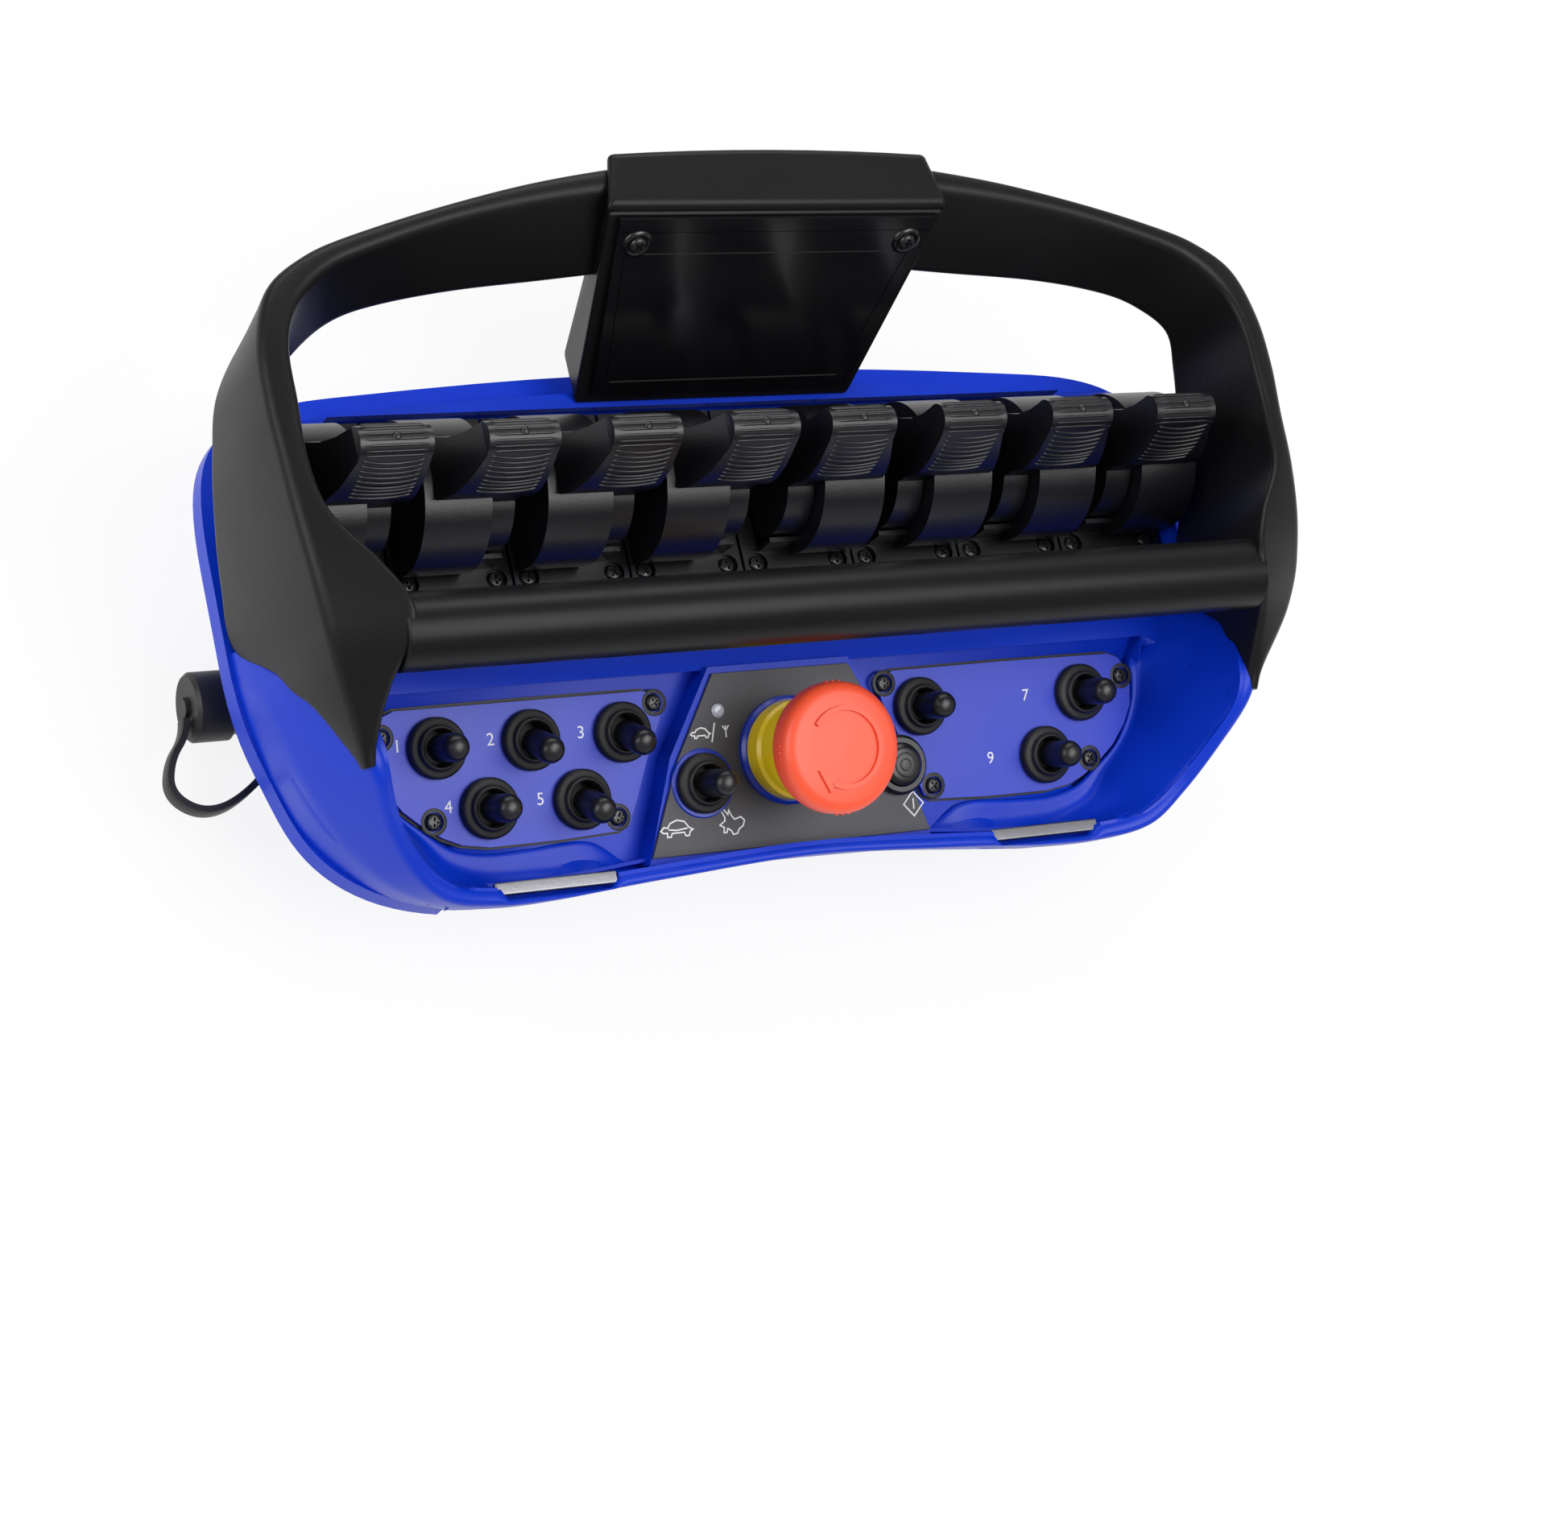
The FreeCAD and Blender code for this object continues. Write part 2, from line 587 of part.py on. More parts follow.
for x, rise in COVER_SCREWS:
    hole_foot = on_cover(x, rise, -screw_length)
    guard = guard.cut(Part.makeCylinder(shank + SCREW_PLAY, 2 * screw_length, hole_foot, COVER_TURN.multVec(UP)))
shape_node("guard_frame", guard)
print("guard pieces left over", len(guard_pieces) - 1, "cut for screws", round(solid_volume - guard.Volume, 1))

# The grab tube between the pillars.
tube = new_body("grab_tube")
tube_ends = ring(ring(new_sketch(tube, "YZ_Plane"), 0, 0, size("tube_radius")), 0, 0, size("tube_radius") - 1.6)
grow(tube, "Pad", tube_ends, size("tube_half") * 2, midplane=True)
set_down(tube, 0, size("tube_y"), size("tube_z"))
node("grab_tube", tube)

# The cover of the post, the aerial board behind it and its two screws.
cover = new_body("post_cover")
cover_face = outline(new_sketch(cover, "XY_Plane"), [(-45.0, 3.0), (45.0, 3.0), (54.0, 66.0), (-54.0, 66.0)])
for side in (-1, 1):
    ring(cover_face, size("cover_screw_x") * side, size("cover_screw_rise"), size("screw_shank_radius"))
grow(cover, "Pad", cover_face, size("cover_thick"))
set_down(cover, 0, size("cover_foot_y"), size("cover_foot_z"), Vector(1, 0, 0), number("cover_slope"))
cover.setExpression("Placement.Rotation.Angle", "Sizes.cover_slope * 1 deg")
node("post_cover", cover)
shape_node("aerial_board", cover_block(34, 12, 54, -8, -6.4))


def screw(place, direction, radius=None, length=None):
    """A plain screw: a round head sitting on a point, with its shank below."""
    radius = radius or shank
    length = length or screw_length
    head = Part.makeCylinder(number("screw_head_radius"), number("screw_head_height"), place, direction)
    return head.fuse(Part.makeCylinder(radius, length, place - direction * length, direction))


def screw_group(label, screws):
    shape_node(label, Part.makeCompound(screws))


cover_out = COVER_TURN.multVec(Vector(0, 0, 1))
screw_group("cover_screws", [screw(on_cover(x, rise, number("cover_thick")), cover_out) for x, rise in COVER_SCREWS])

# The eight lever modules: a base with its dome and axle, and the paddle that turns on the axle.
plate_half = (size("lever_pitch") - size("lever_plate_gap")) * 0.5
recess_radius = size("screw_head_radius") + 0.7
for i in range(int(number("lever_count"))):
    side = lever_side(i)
    middle = (size("lever_pitch")) * (i - (number("lever_count") - 1) / 2)
    dome_mid = -size("dome_shift") * side
    drum_near = size("dome_width") * 0.5 - size("dome_shift") + size("drum_gap")
    drum_mid = (drum_near + size("drum_width") * 0.5) * side
    low = size("lever_plate_top") - size("lever_plate_thick") - size("lever_pivot_z")
    front_edge = size("lever_plate_front") - size("lever_pivot_y")
    back_edge = size("lever_plate_back") - size("lever_pivot_y")

    base = new_body(f"lever_base_{i + 1}")
    face = outline(new_sketch(base, "XY_Plane", low), [(-plate_half, front_edge), (plate_half, front_edge),
                                                       (plate_half, back_edge), (-plate_half, back_edge)])
    grow(base, "Pad", face, size("lever_plate_thick"))
    dome = ring(new_sketch(base, "YZ_Plane", dome_mid), 0, 0, size("dome_radius"))
    grow(base, "Pad", dome, size("dome_width"), midplane=True)
    doc.recompute()
    slot_half = size("drum_width") * 0.5 + size("drum_gap")
    slot_reach = size("drum_radius") + 0.6
    slot = outline(new_sketch(base, "XY_Plane", low - 20), [
        (drum_mid - slot_half, -slot_reach), (drum_mid + slot_half, -slot_reach),
        (drum_mid + slot_half, slot_reach), (drum_mid - slot_half, slot_reach)])
    grow(base, "Pocket", slot, 80, midplane=True)
    top = size("lever_plate_top") - size("lever_pivot_z")
    for radius, depth in ((size("screw_shank_radius"), size("lever_plate_thick") + 1), (recess_radius, 1.9)):
        holes = new_sketch(base, "XY_Plane", top)
        for x in (-size("lever_screw_x"), size("lever_screw_x")):
            for y in (size("lever_screw_front"), size("lever_screw_back")):
                ring(holes, x, y - size("lever_pivot_y"), radius)
        grow(base, "Pocket", holes, depth)
    axle = ring(new_sketch(base, "YZ_Plane", drum_mid - 0.5 * side), 0, 0, size("axle_radius"))
    grow(base, "Pad", axle, size("drum_width") + 0.6, midplane=True)
    ledge_back = -slot_reach
    ledge = outline(new_sketch(base, "YZ_Plane", drum_mid), [
        (ledge_back - size("ledge_thick"), low), (ledge_back, low), (ledge_back, top + size("ledge_high")),
        (ledge_back - size("ledge_thick"), top + size("ledge_high"))])
    grow(base, "Pad", ledge, slot_half * 2, midplane=True)
    set_down(base, middle, size("lever_pivot_y"), size("lever_pivot_z"))
    node(f"lever_base_{i + 1}", base)

    lever = new_body(f"lever_{i + 1}")
    shift = size("paddle_shift") * side
    blade = outline(new_sketch(lever, "YZ_Plane", shift), PADDLE)
    grow(lever, "Pad", blade, size("paddle_width"), midplane=True)
    clearing = ring(new_sketch(lever, "YZ_Plane"), 0, 0, size("dome_radius") + size("running_gap"))
    grow(lever, "Pocket", clearing, 90, midplane=True)
    paddle_edge = (size("paddle_shift") - size("paddle_width") * 0.5) * side
    knob_edge = (size("knob_shift") - size("knob_width") * 0.5) * side
    knob_rise = size("knob_z") - size("lever_pivot_z")
    foot_rise = size("dome_radius") + size("running_gap")
    taper = outline(new_sketch(lever, "XZ_Plane"), [
        (paddle_edge, foot_rise), (paddle_edge - side, foot_rise), (paddle_edge - side, knob_rise * 2),
        (knob_edge, knob_rise * 2), (knob_edge, knob_rise)])
    grow(lever, "Pocket", taper, 120, midplane=True)
    drum = ring(new_sketch(lever, "YZ_Plane", drum_mid), 0, 0, size("drum_radius"))
    grow(lever, "Pad", drum, size("drum_width"), midplane=True)
    web = outline(new_sketch(lever, "YZ_Plane", drum_mid), [(-8, 14), (8, 14), (9, 25), (-9, 25)])
    grow(lever, "Pad", web, size("drum_width"), midplane=True)
    bore = ring(new_sketch(lever, "YZ_Plane", drum_mid), 0, 0, size("axle_radius") + 0.05)
    grow(lever, "Pocket", bore, size("drum_width") + 2, midplane=True)
    knob = ring(new_sketch(lever, "YZ_Plane", size("knob_shift") * side),
                size("knob_y") - size("lever_pivot_y"), knob_rise, size("knob_radius"))
    grow(lever, "Pad", knob, size("knob_width"), midplane=True)
    set_down(lever, middle, size("lever_pivot_y"), size("lever_pivot_z"))
    node(f"lever_{i + 1}", lever)

screw_group("lever_screws", [screw(world(x, y, number("lever_plate_top") - 1.9), UP) for x, y in LEVER_SCREWS])

# The switch plates with their gaskets, and the centre panel.
for side, half in zip((1, -1), both_sides(PLATE)):
    name = "right" if side > 0 else "left"
    window_half = WINDOW if side > 0 else [(-x, v) for x, v in reversed(WINDOW)]
    plate = panel_prism(half, -plate_thick, 0)
    gasket = panel_prism(moved_in(half, -0.8), floor_rise, -plate_thick).cut(panel_prism(window_half, -9, 2))
    for x, v in PLATE_SCREWS:
        plate = plate.cut(panel_rod(side * x, v, shank, -4, 1)).cut(panel_rod(side * x, v, 3.2, -1.2, 1))
        gasket = gasket.cut(panel_rod(side * x, v, shank, -4, 1))
    for label, x, v, lean in TOGGLES[:-1]:
        plate = plate.cut(panel_rod(x.value, v.value, hole_radius, -4, 1))
    shape_node(f"switch_plate_{name}", plate)
    shape_node(f"gasket_{name}", gasket)
panel_out = PANEL_TURN.multVec(Vector(0, 0, 1))
screw_group("plate_screws", [screw(on_panel(side * x, v, -1.2), panel_out) for side in (-1, 1) for x, v in PLATE_SCREWS])
centre = panel_prism(centre_outline, centre_under, centre_rise)
for x, v, radius in CENTRE_HOLES:
    centre = centre.cut(panel_rod(x, v, radius, 0, 20))
shape_node("centre_panel", centre)


def turned_shape(points, x, v, rise):
    """A half profile (radius, height) turned about the panel's normal."""
    corners = [Vector(r, 0, z) for r, z in points]
    solid = Part.Face(Part.makePolygon(corners + corners[:1])).revolve(Vector(), Vector(0, 0, 1), 360)
    solid.Placement = Placement(on_panel(x, v, rise), PANEL_TURN)
    return solid


# The toggles: a fixed boot collar and switch below, and the booted lever that rocks in them.
boot = number("boot_radius")
COLLAR = [(hole_radius, 0), (boot, 0), (boot, 2.2), (boot - 0.7, 2.9), (boot - 1.8, 3.0),
          (boot - 2.0, number("boot_height")), (hole_radius, number("boot_height"))]
collars = []
switches = []
for label, x, v, lean in TOGGLES:
    rise = toggle_rise(label)
    under = centre_under if label == "toggle_mid" else -plate_thick
    collars.append(turned_shape(COLLAR, x.value, v.value, rise))
    sleeve = panel_rod(x.value, v.value, hole_radius + 0.8, under - 4.5, under)
    sleeve = sleeve.cut(panel_rod(x.value, v.value, hole_radius, under - 4, under + 1))
    case = Part.makeBox(10, 13, 15)
    case.Placement = Placement(on_panel(x.value - 5, v.value - 6.5, under - 19), PANEL_TURN)
    switches.append(sleeve.fuse(case))
    toggle = new_body(label)
    ball = size("ball_radius")
    stem = size("stem_radius")
    tip = size("toggle_height") - size("ball_height")
    turn(toggle, [(0, -4.6), (ball * 0.67, -4.6), (ball * 0.875, -3), (ball * 0.97, -1.5), (ball, 0),
                  (ball * 0.97, 1.5), (ball * 0.875, 3), (ball * 0.8, 4), (ball * 0.79, 6.2),
                  (ball * 0.68, 7.4), (stem, 8.2), (stem, tip - 2.4), (stem * 0.85, tip - 1.0),
                  (stem * 0.5, tip - 0.2), (0, tip)])
    set_on_panel(toggle, x, v, as_size(rise) + size("ball_height"), lean)
    node(label, toggle)
shape_node("toggle_collars", Part.makeCompound(collars))
shape_node("toggle_switches", Part.makeCompound(switches))


def turned_node(label, points, x=0, v=0):
    body = new_body(label)
    turn(body, points)
    set_on_panel(body, x, v, 0, 0.0)
    return node(label, body)


# The stop button: ring, collar and contact block stay, the stem slides and the head turns on it.
level = size("centre_height")
neck = size("stop_stem_radius") + 5.2
stem = size("stop_stem_radius")
bore = stem + size("running_gap")
ring_top = level + 2.5
head = size("stop_head_radius")
top = size("stop_head_top")
turned_node("stop_ring", [(neck, level), (size("stop_ring_radius"), level), (size("stop_ring_radius"), level + 1.6),
                          (size("stop_ring_radius") - 1.0, ring_top), (neck, ring_top)])
wide = size("stop_collar_radius")
turned_node("stop_collar", [(bore, level), (neck, level), (neck, ring_top), (wide, ring_top), (wide, level + 8.5),
                            (wide - 1.0, level + 9.5), (wide - 1.4, level + 18.0), (wide - 2.2, level + 18.8),
                            (bore, level + 18.8)])
turned_node("stop_stem", [(0, 0), (stem, 0), (stem, top - 2.6), (0, top - 2.6)])
hub = stem + 0.05
turned_node("stop_head", [(hub, top - 12.8), (head - 9.0, top - 12.8), (head - 2.5, top - 11.6), (head - 0.6, top - 10.4),
                          (head, top - 8.5), (head, top - 3.6), (head - 1.0, top - 1.8), (head - 2.6, top - 0.8),
                          (head - 6.0, top - 0.3), (0, top), (0, top - 2.5), (hub, top - 2.5)])
stop_block = Part.makeBox(30, 30, 30)
stop_block.Placement = Placement(on_panel(-15, -15, -34), PANEL_TURN)
stop_block = stop_block.fuse(panel_rod(0, 0, neck.value, -4, centre_rise)).cut(panel_rod(0, 0, bore.value, -8, 30))
shape_node("stop_contacts", stop_block)

# The start button with its bezel and switch, and the indicator lamp.
start_x = size("start_x")
start_v = size("start_v")
outer = size("start_radius")
inner = size("start_radius") - 2.5
press = inner - size("running_gap")
turned_node("start_bezel", [(inner, level), (outer, level), (outer, level + 1.6), (outer - 1.0, level + 2.6),
                            (inner, level + 2.6)], start_x, start_v)
turned_node("start_button", [(0, 3.4), (press, 3.4), (press, level + 3.6), (press - 1.2, level + 4.6),
                             (press - 3.0, level + 4.9), (0, level + 5.0)], start_x, start_v)
shape_node("start_switch", panel_rod(start_x.value, start_v.value, inner.value, -9.5, 1.0))
lamp = size("led_radius")
turned_node("lamp_lens", [(0, 3.2), (lamp, 3.2), (lamp, level + 0.3), (lamp - 0.7, level + 1.0), (0, level + 1.2)],
            size("led_x"), size("led_v"))

# The steel strap bars across the notches of the front lip.
for side, name in ((-1, "left"), (1, "right")):
    bar = new_body(f"strap_bar_{name}")
    half = size("eye_half")
    plan = outline(new_sketch(bar, "XY_Plane"), [(-half, -4.2), (half, -4.2), (half, 4.2), (-half, 4.2)])
    grow(bar, "Pad", plan, size("eye_thick"))
    set_down(bar, size("eye_x") * side, -36.6, 4.6)
    node(f"strap_bar_{name}", bar)

# Inside the tub: the battery, the main board on its posts, and the screws of the two halves.
shape_node("battery", block(-50, 50, 72, 98, base_low + wall, base_low + wall + 24))
board = block(-112, 112, 0, 68, base_low + wall + 5, base_low + wall + 6.6)
shape_node("main_board", board)
screw_group("base_screws", [screw(world(x, y, base_low + 6), -UP, boss_bore, 29) for x, y in BOSSES])

# The connector on the left side, its dust cap and the flat strap that keeps the cap.
socket = new_body("connector_socket")
plug = size("connector_radius")
turn(socket, [(0, 0), (plug, 0), (plug, 21), (0, 21)])
set_down(socket, -152, size("connector_y"), size("connector_z"), Vector(0, 1, 0), -90)
node("connector_socket", socket)
cap = new_body("dust_cap")
turn(cap, [(0, 21.4), (plug + 0.4, 21.4), (plug + 0.4, 12.0), (plug + 1.6, 12.0), (plug + 1.6, 22.6),
           (plug + 0.6, 23.8), (3.2, 23.8), (3.2, 25.2), (0, 25.2)])
set_down(cap, -152, size("connector_y"), size("connector_z"), Vector(0, 1, 0), -90)
node("dust_cap", cap)
TETHER = [(-177.4, 34.2), (-178.0, 29.4), (-184.2, 22.0), (-186.5, 11.5), (-177.0, 4.5), (-164.6, 8.0),
          (-155.8, 15.6)]


def strap(points, thick, width, height):
    """A flat strap on edge: straight runs joined by tangent arcs."""
    corners = [world(x, y, height) for x, y in points]
    edges = []
    start = corners[0]
    for before, corner, after in zip(corners, corners[1:], corners[2:]):
        arriving = corner - before
        leaving = after - corner
        half_turn = arriving.getAngle(leaving) / 2
        run = 0.45 * min(arriving.Length, leaving.Length)
        print("strap bend radius", round(run / math.tan(half_turn), 2))
        enter = corner - arriving.normalize() * run
        leave = corner + leaving.normalize() * run
        inward = ((enter + leave) * 0.5 - corner).normalize()
        radius = run / math.tan(half_turn)
        centre_line = corner + inward * (radius / math.cos(half_turn))
        middle = centre_line - inward * radius
        edges.append(Part.makeLine(start, enter))
        edges.append(Part.Arc(enter, middle, leave).toShape())
        start = leave
    edges.append(Part.makeLine(start, corners[-1]))
    path = Part.Wire(edges)
    print("strap length", round(path.Length, 1))
    first = (corners[1] - corners[0]).normalize()
    across = first.cross(UP)
    ends = [across * (thick / 2) - UP * (width / 2), across * (thick / 2) + UP * (width / 2),
            across * (-thick / 2) + UP * (width / 2), across * (-thick / 2) - UP * (width / 2)]
    profile = Part.makePolygon([corners[0] + e for e in ends] + [corners[0] + ends[0]])
    return path.makePipeShell([profile], True, True)


shape_node("cap_strap", strap(TETHER, number("strap_thick"), number("strap_width"), number("connector_z")))

doc.recompute()
troubled = [o.Label for o in nodes if "Invalid" in o.State or "Error" in o.State]
troubled += [o.Label for o in nodes if o.Shape.isNull() or not o.Shape.isValid()]
if troubled:
    print("not valid", troubled)
os.makedirs("parts", exist_ok=True)
for obj in nodes:
    obj.Shape.exportStep(f"parts/{obj.Label}.step")
print("sub-parts written", len(nodes))
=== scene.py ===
# %% [markdown]
# A belly-worn radio control for a crane: a blue tray with toggle switches and a stop button, a row of
# paddle levers, and a black guard that arches over them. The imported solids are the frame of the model.
# This lesson keeps their places, and gives them rounded skins, finishes and the small details.

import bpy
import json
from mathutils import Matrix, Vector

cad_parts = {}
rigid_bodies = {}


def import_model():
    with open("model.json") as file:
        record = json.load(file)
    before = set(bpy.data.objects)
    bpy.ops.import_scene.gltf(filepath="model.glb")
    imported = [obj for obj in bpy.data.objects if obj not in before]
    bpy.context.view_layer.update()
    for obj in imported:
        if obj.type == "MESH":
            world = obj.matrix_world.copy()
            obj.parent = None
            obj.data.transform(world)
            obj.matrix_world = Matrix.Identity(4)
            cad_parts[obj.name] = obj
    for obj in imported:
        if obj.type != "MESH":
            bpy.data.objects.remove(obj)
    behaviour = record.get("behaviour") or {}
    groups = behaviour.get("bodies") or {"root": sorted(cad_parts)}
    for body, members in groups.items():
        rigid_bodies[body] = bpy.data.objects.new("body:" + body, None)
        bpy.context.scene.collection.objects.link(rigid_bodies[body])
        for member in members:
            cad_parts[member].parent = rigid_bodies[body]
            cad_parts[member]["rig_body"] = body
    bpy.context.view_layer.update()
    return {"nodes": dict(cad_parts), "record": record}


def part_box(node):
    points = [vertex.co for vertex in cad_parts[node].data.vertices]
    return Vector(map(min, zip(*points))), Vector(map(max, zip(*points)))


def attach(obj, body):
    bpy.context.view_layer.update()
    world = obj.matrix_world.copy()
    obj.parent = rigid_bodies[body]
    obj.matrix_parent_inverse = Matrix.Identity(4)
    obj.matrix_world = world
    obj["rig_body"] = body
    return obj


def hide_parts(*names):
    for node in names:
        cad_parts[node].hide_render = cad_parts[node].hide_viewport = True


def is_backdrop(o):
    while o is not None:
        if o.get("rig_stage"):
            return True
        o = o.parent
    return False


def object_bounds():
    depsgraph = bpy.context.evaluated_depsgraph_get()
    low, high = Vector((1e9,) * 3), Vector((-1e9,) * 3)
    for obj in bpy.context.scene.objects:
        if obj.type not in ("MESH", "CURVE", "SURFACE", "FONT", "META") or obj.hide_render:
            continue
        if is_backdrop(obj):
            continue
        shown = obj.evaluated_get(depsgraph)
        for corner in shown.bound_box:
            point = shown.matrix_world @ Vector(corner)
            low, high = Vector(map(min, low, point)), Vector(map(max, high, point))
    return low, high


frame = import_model()

# %% [markdown]
# Places on the object are easiest to say in millimetres from one point of the switch panel, under the
# stop button, because the panel slopes towards the operator. Two small functions turn such places into
# metres of the model's frame, one for the level deck and one for the sloped panel.

# %% Units and places
import json
import math

import bmesh
import bpy
from mathutils import Matrix, Vector

MM = 0.001
UP = Vector((0, 0, 1))
ACROSS = Vector((1, 0, 0))
DATUM = Vector((0, -64, 48))
PANEL_TILT = math.radians(16.8)
PANEL_TURN = Matrix.Rotation(PANEL_TILT, 3, "X")
PANEL_OUT = PANEL_TURN @ UP
LEVER_COUNT = 8
scene = bpy.context.scene
NODES = frame["nodes"]
BODY_OF = {node: obj["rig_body"] for node, obj in NODES.items()}
SLOT_OF = {row["node"]: row["material_slot"] for row in frame["record"]["subparts"]}


def place(x, y, z):
    return (Vector((x, y, z)) + DATUM) * MM


def on_panel(x, v, rise=0.0):
    return (PANEL_TURN @ Vector((x, v, rise)) + DATUM) * MM


def panel_matrix(x, v, rise):
    """Moves a flat shape from the origin to a place on the sloped panel."""
    return Matrix.Translation(on_panel(x, v, rise)) @ PANEL_TURN.to_4x4()


def put(name, data):
    """A new object in the scene."""
    obj = bpy.data.objects.new(name, data)
    scene.collection.objects.link(obj)
    return obj


print("panel datum at", [round(c, 4) for c in place(0, 0, 0)])

# %% [markdown]
# The camera stands high on the left of the operator and is rolled, as a photographer leans over a
# table. Its axes are worked out from the viewing direction and the roll, and go into one matrix, because
# three rotation angles would be harder to read than a direction.

# %% Camera
CAMERA_AT = (-520.9, -255.6, 918.4)
CAMERA_LOOK = Vector((0.4812, 0.2304, -0.8458)).normalized()
CAMERA_ROLL = math.radians(-55.06525)
SENSOR_WIDTH = 36.0
LENS = 80.105
CLIP_START = 0.05

level = CAMERA_LOOK.cross(UP).normalized()
drop = CAMERA_LOOK.cross(level)
right = math.cos(CAMERA_ROLL) * level + math.sin(CAMERA_ROLL) * drop
up = -CAMERA_LOOK.cross(right)
lens_data = bpy.data.cameras.new("camera")
lens_data.sensor_width = SENSOR_WIDTH
lens_data.lens = LENS
lens_data.clip_start = CLIP_START
camera = put("camera", lens_data)
turn = Matrix((right, up, -CAMERA_LOOK)).transposed()
camera.matrix_world = Matrix.Translation(place(*CAMERA_AT)) @ turn.to_4x4()
scene.camera = camera
print("camera at", [round(c, 3) for c in camera.location])

# %% [markdown]
# Node trees are rows of nodes and links. A few helpers keep them short: one makes a node, one links two
# sockets, one makes a maths node whose inputs are sockets or plain numbers, and one names the inputs and
# outputs of a group.

# %% Node helpers
scene.view_settings.view_transform = "Standard"


def node_of(tree, kind, **values):
    item = tree.nodes.new(kind)
    for name, value in values.items():
        setattr(item, name, value)
    return item


def link(tree, out_socket, in_socket):
    tree.links.new(out_socket, in_socket)


def calc(tree, operation, *inputs):
    """The output of a maths node; each input is a socket to link or a number to set."""
    item = node_of(tree, "ShaderNodeMath", operation=operation)
    for socket, value in zip(item.inputs, inputs):
        if isinstance(value, bpy.types.NodeSocket):
            link(tree, value, socket)
        else:
            socket.default_value = value
    return item.outputs[0]


def add_sockets(group, way, **kinds):
    for name, kind in kinds.items():
        group.interface.new_socket(name, in_out=way, socket_type="NodeSocket" + kind)


print("view transform", scene.view_settings.view_transform)

# %% [markdown]
# Product pictures are taken on a white sweep. A plain white floor would turn grey under soft light, so
# camera, mirror and clear rays see this one glow nearly white, while it still takes a faint shadow.

# %% Pale floor and world
WORLD_STRENGTH = 0.42
FLOOR_GLOW = 0.86
FLOOR_HALF = 6
FLOOR_COLOUR = (0.85, 0.85, 0.86, 1)

world = bpy.data.worlds.new("studio")
scene.world = world
world.use_nodes = True
sky = world.node_tree.nodes["Background"]
sky.inputs["Color"].default_value = (1, 1, 1, 1)
sky.inputs["Strength"].default_value = WORLD_STRENGTH

floor_corners = [(x * FLOOR_HALF, y * FLOOR_HALF, 0) for x, y in ((-1, -1), (1, -1), (1, 1), (-1, 1))]
floor_mesh = bpy.data.meshes.new("floor")
floor_mesh.from_pydata(floor_corners, [], [(0, 1, 2, 3)])
floor = put("floor", floor_mesh)
floor_paint = bpy.data.materials.new("pale_floor")
floor_paint.use_nodes = True
tree = floor_paint.node_tree
tree.nodes.clear()
rays = node_of(tree, "ShaderNodeLightPath").outputs
seen = calc(tree, "MAXIMUM", rays["Is Camera Ray"], rays["Is Glossy Ray"])
seen_clear = calc(tree, "MAXIMUM", seen, rays["Is Transmission Ray"])
share = calc(tree, "MULTIPLY", seen_clear, FLOOR_GLOW)
matt = node_of(tree, "ShaderNodeBsdfDiffuse")
matt.inputs["Color"].default_value = FLOOR_COLOUR
glow = node_of(tree, "ShaderNodeEmission")
mix = node_of(tree, "ShaderNodeMixShader")
link(tree, share, mix.inputs[0])
link(tree, matt.outputs[0], mix.inputs[1])
link(tree, glow.outputs[0], mix.inputs[2])
end = node_of(tree, "ShaderNodeOutputMaterial")
link(tree, mix.outputs[0], end.inputs["Surface"])
floor_mesh.materials.append(floor_paint)
floor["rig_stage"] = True
print("floor", 2 * FLOOR_HALF, "m wide")

# %% [markdown]
# Dark plastic is seen by what it mirrors. Large soft boxes give it long, quiet reflections, where small
# lamps would leave hard spots.

# %% Soft boxes
# Each soft box: name, place in metres, width, depth, power in watts.
SOFT_BOXES = [("overhead_box", (0.35, -0.35, 1.3), 1.0, 0.8, 13),
              ("left_box", (-1.2, 0.1, 0.7), 0.9, 0.9, 9),
              ("back_box", (0.1, 1.2, 0.9), 1.4, 0.5, 9)]
AIM = Vector((0, 0, 0.05))
for name, at, width, depth, power in SOFT_BOXES:
    lamp = bpy.data.lights.new(name, "AREA")
    lamp.shape = "RECTANGLE"
    lamp.size = width
    lamp.size_y = depth
    lamp.energy = power
    stand = put(name, lamp)
    stand.location = at
    stand.rotation_euler = (AIM - Vector(at)).to_track_quat("-Z", "Y").to_euler()
print("soft boxes", len(SOFT_BOXES))

# %% [markdown]
# Nearly every surface here is moulded: fine grain from the spark-eroded mould, and slightly uneven
# roughness. One node group holds that effect, with its own scale and depth in each material, so that a
# change to the effect reaches all of them.

# %% Moulded grain group
FINE_DETAIL = 3
BROAD_SCALE = 35
BROAD_DETAIL = 4
NOISE_MIDDLE = 0.5

grain_group = bpy.data.node_groups.new("moulded_grain", "ShaderNodeTree")
tree = grain_group
add_sockets(tree, "INPUT", Scale="Float", Rough="Float", Spread="Float", Base="Color", Mottle="Float")
add_sockets(tree, "OUTPUT", Height="Float", Roughness="Float", Color="Color")
given = node_of(tree, "NodeGroupInput").outputs
result = node_of(tree, "NodeGroupOutput").inputs
where = node_of(tree, "ShaderNodeTexCoord").outputs["Object"]
fine = node_of(tree, "ShaderNodeTexNoise")
fine.inputs["Detail"].default_value = FINE_DETAIL
link(tree, where, fine.inputs["Vector"])
link(tree, given["Scale"], fine.inputs["Scale"])
link(tree, fine.outputs["Fac"], result["Height"])
broad = node_of(tree, "ShaderNodeTexNoise")
broad.inputs["Scale"].default_value = BROAD_SCALE
broad.inputs["Detail"].default_value = BROAD_DETAIL
link(tree, where, broad.inputs["Vector"])
swing = calc(tree, "SUBTRACT", broad.outputs["Fac"], NOISE_MIDDLE)
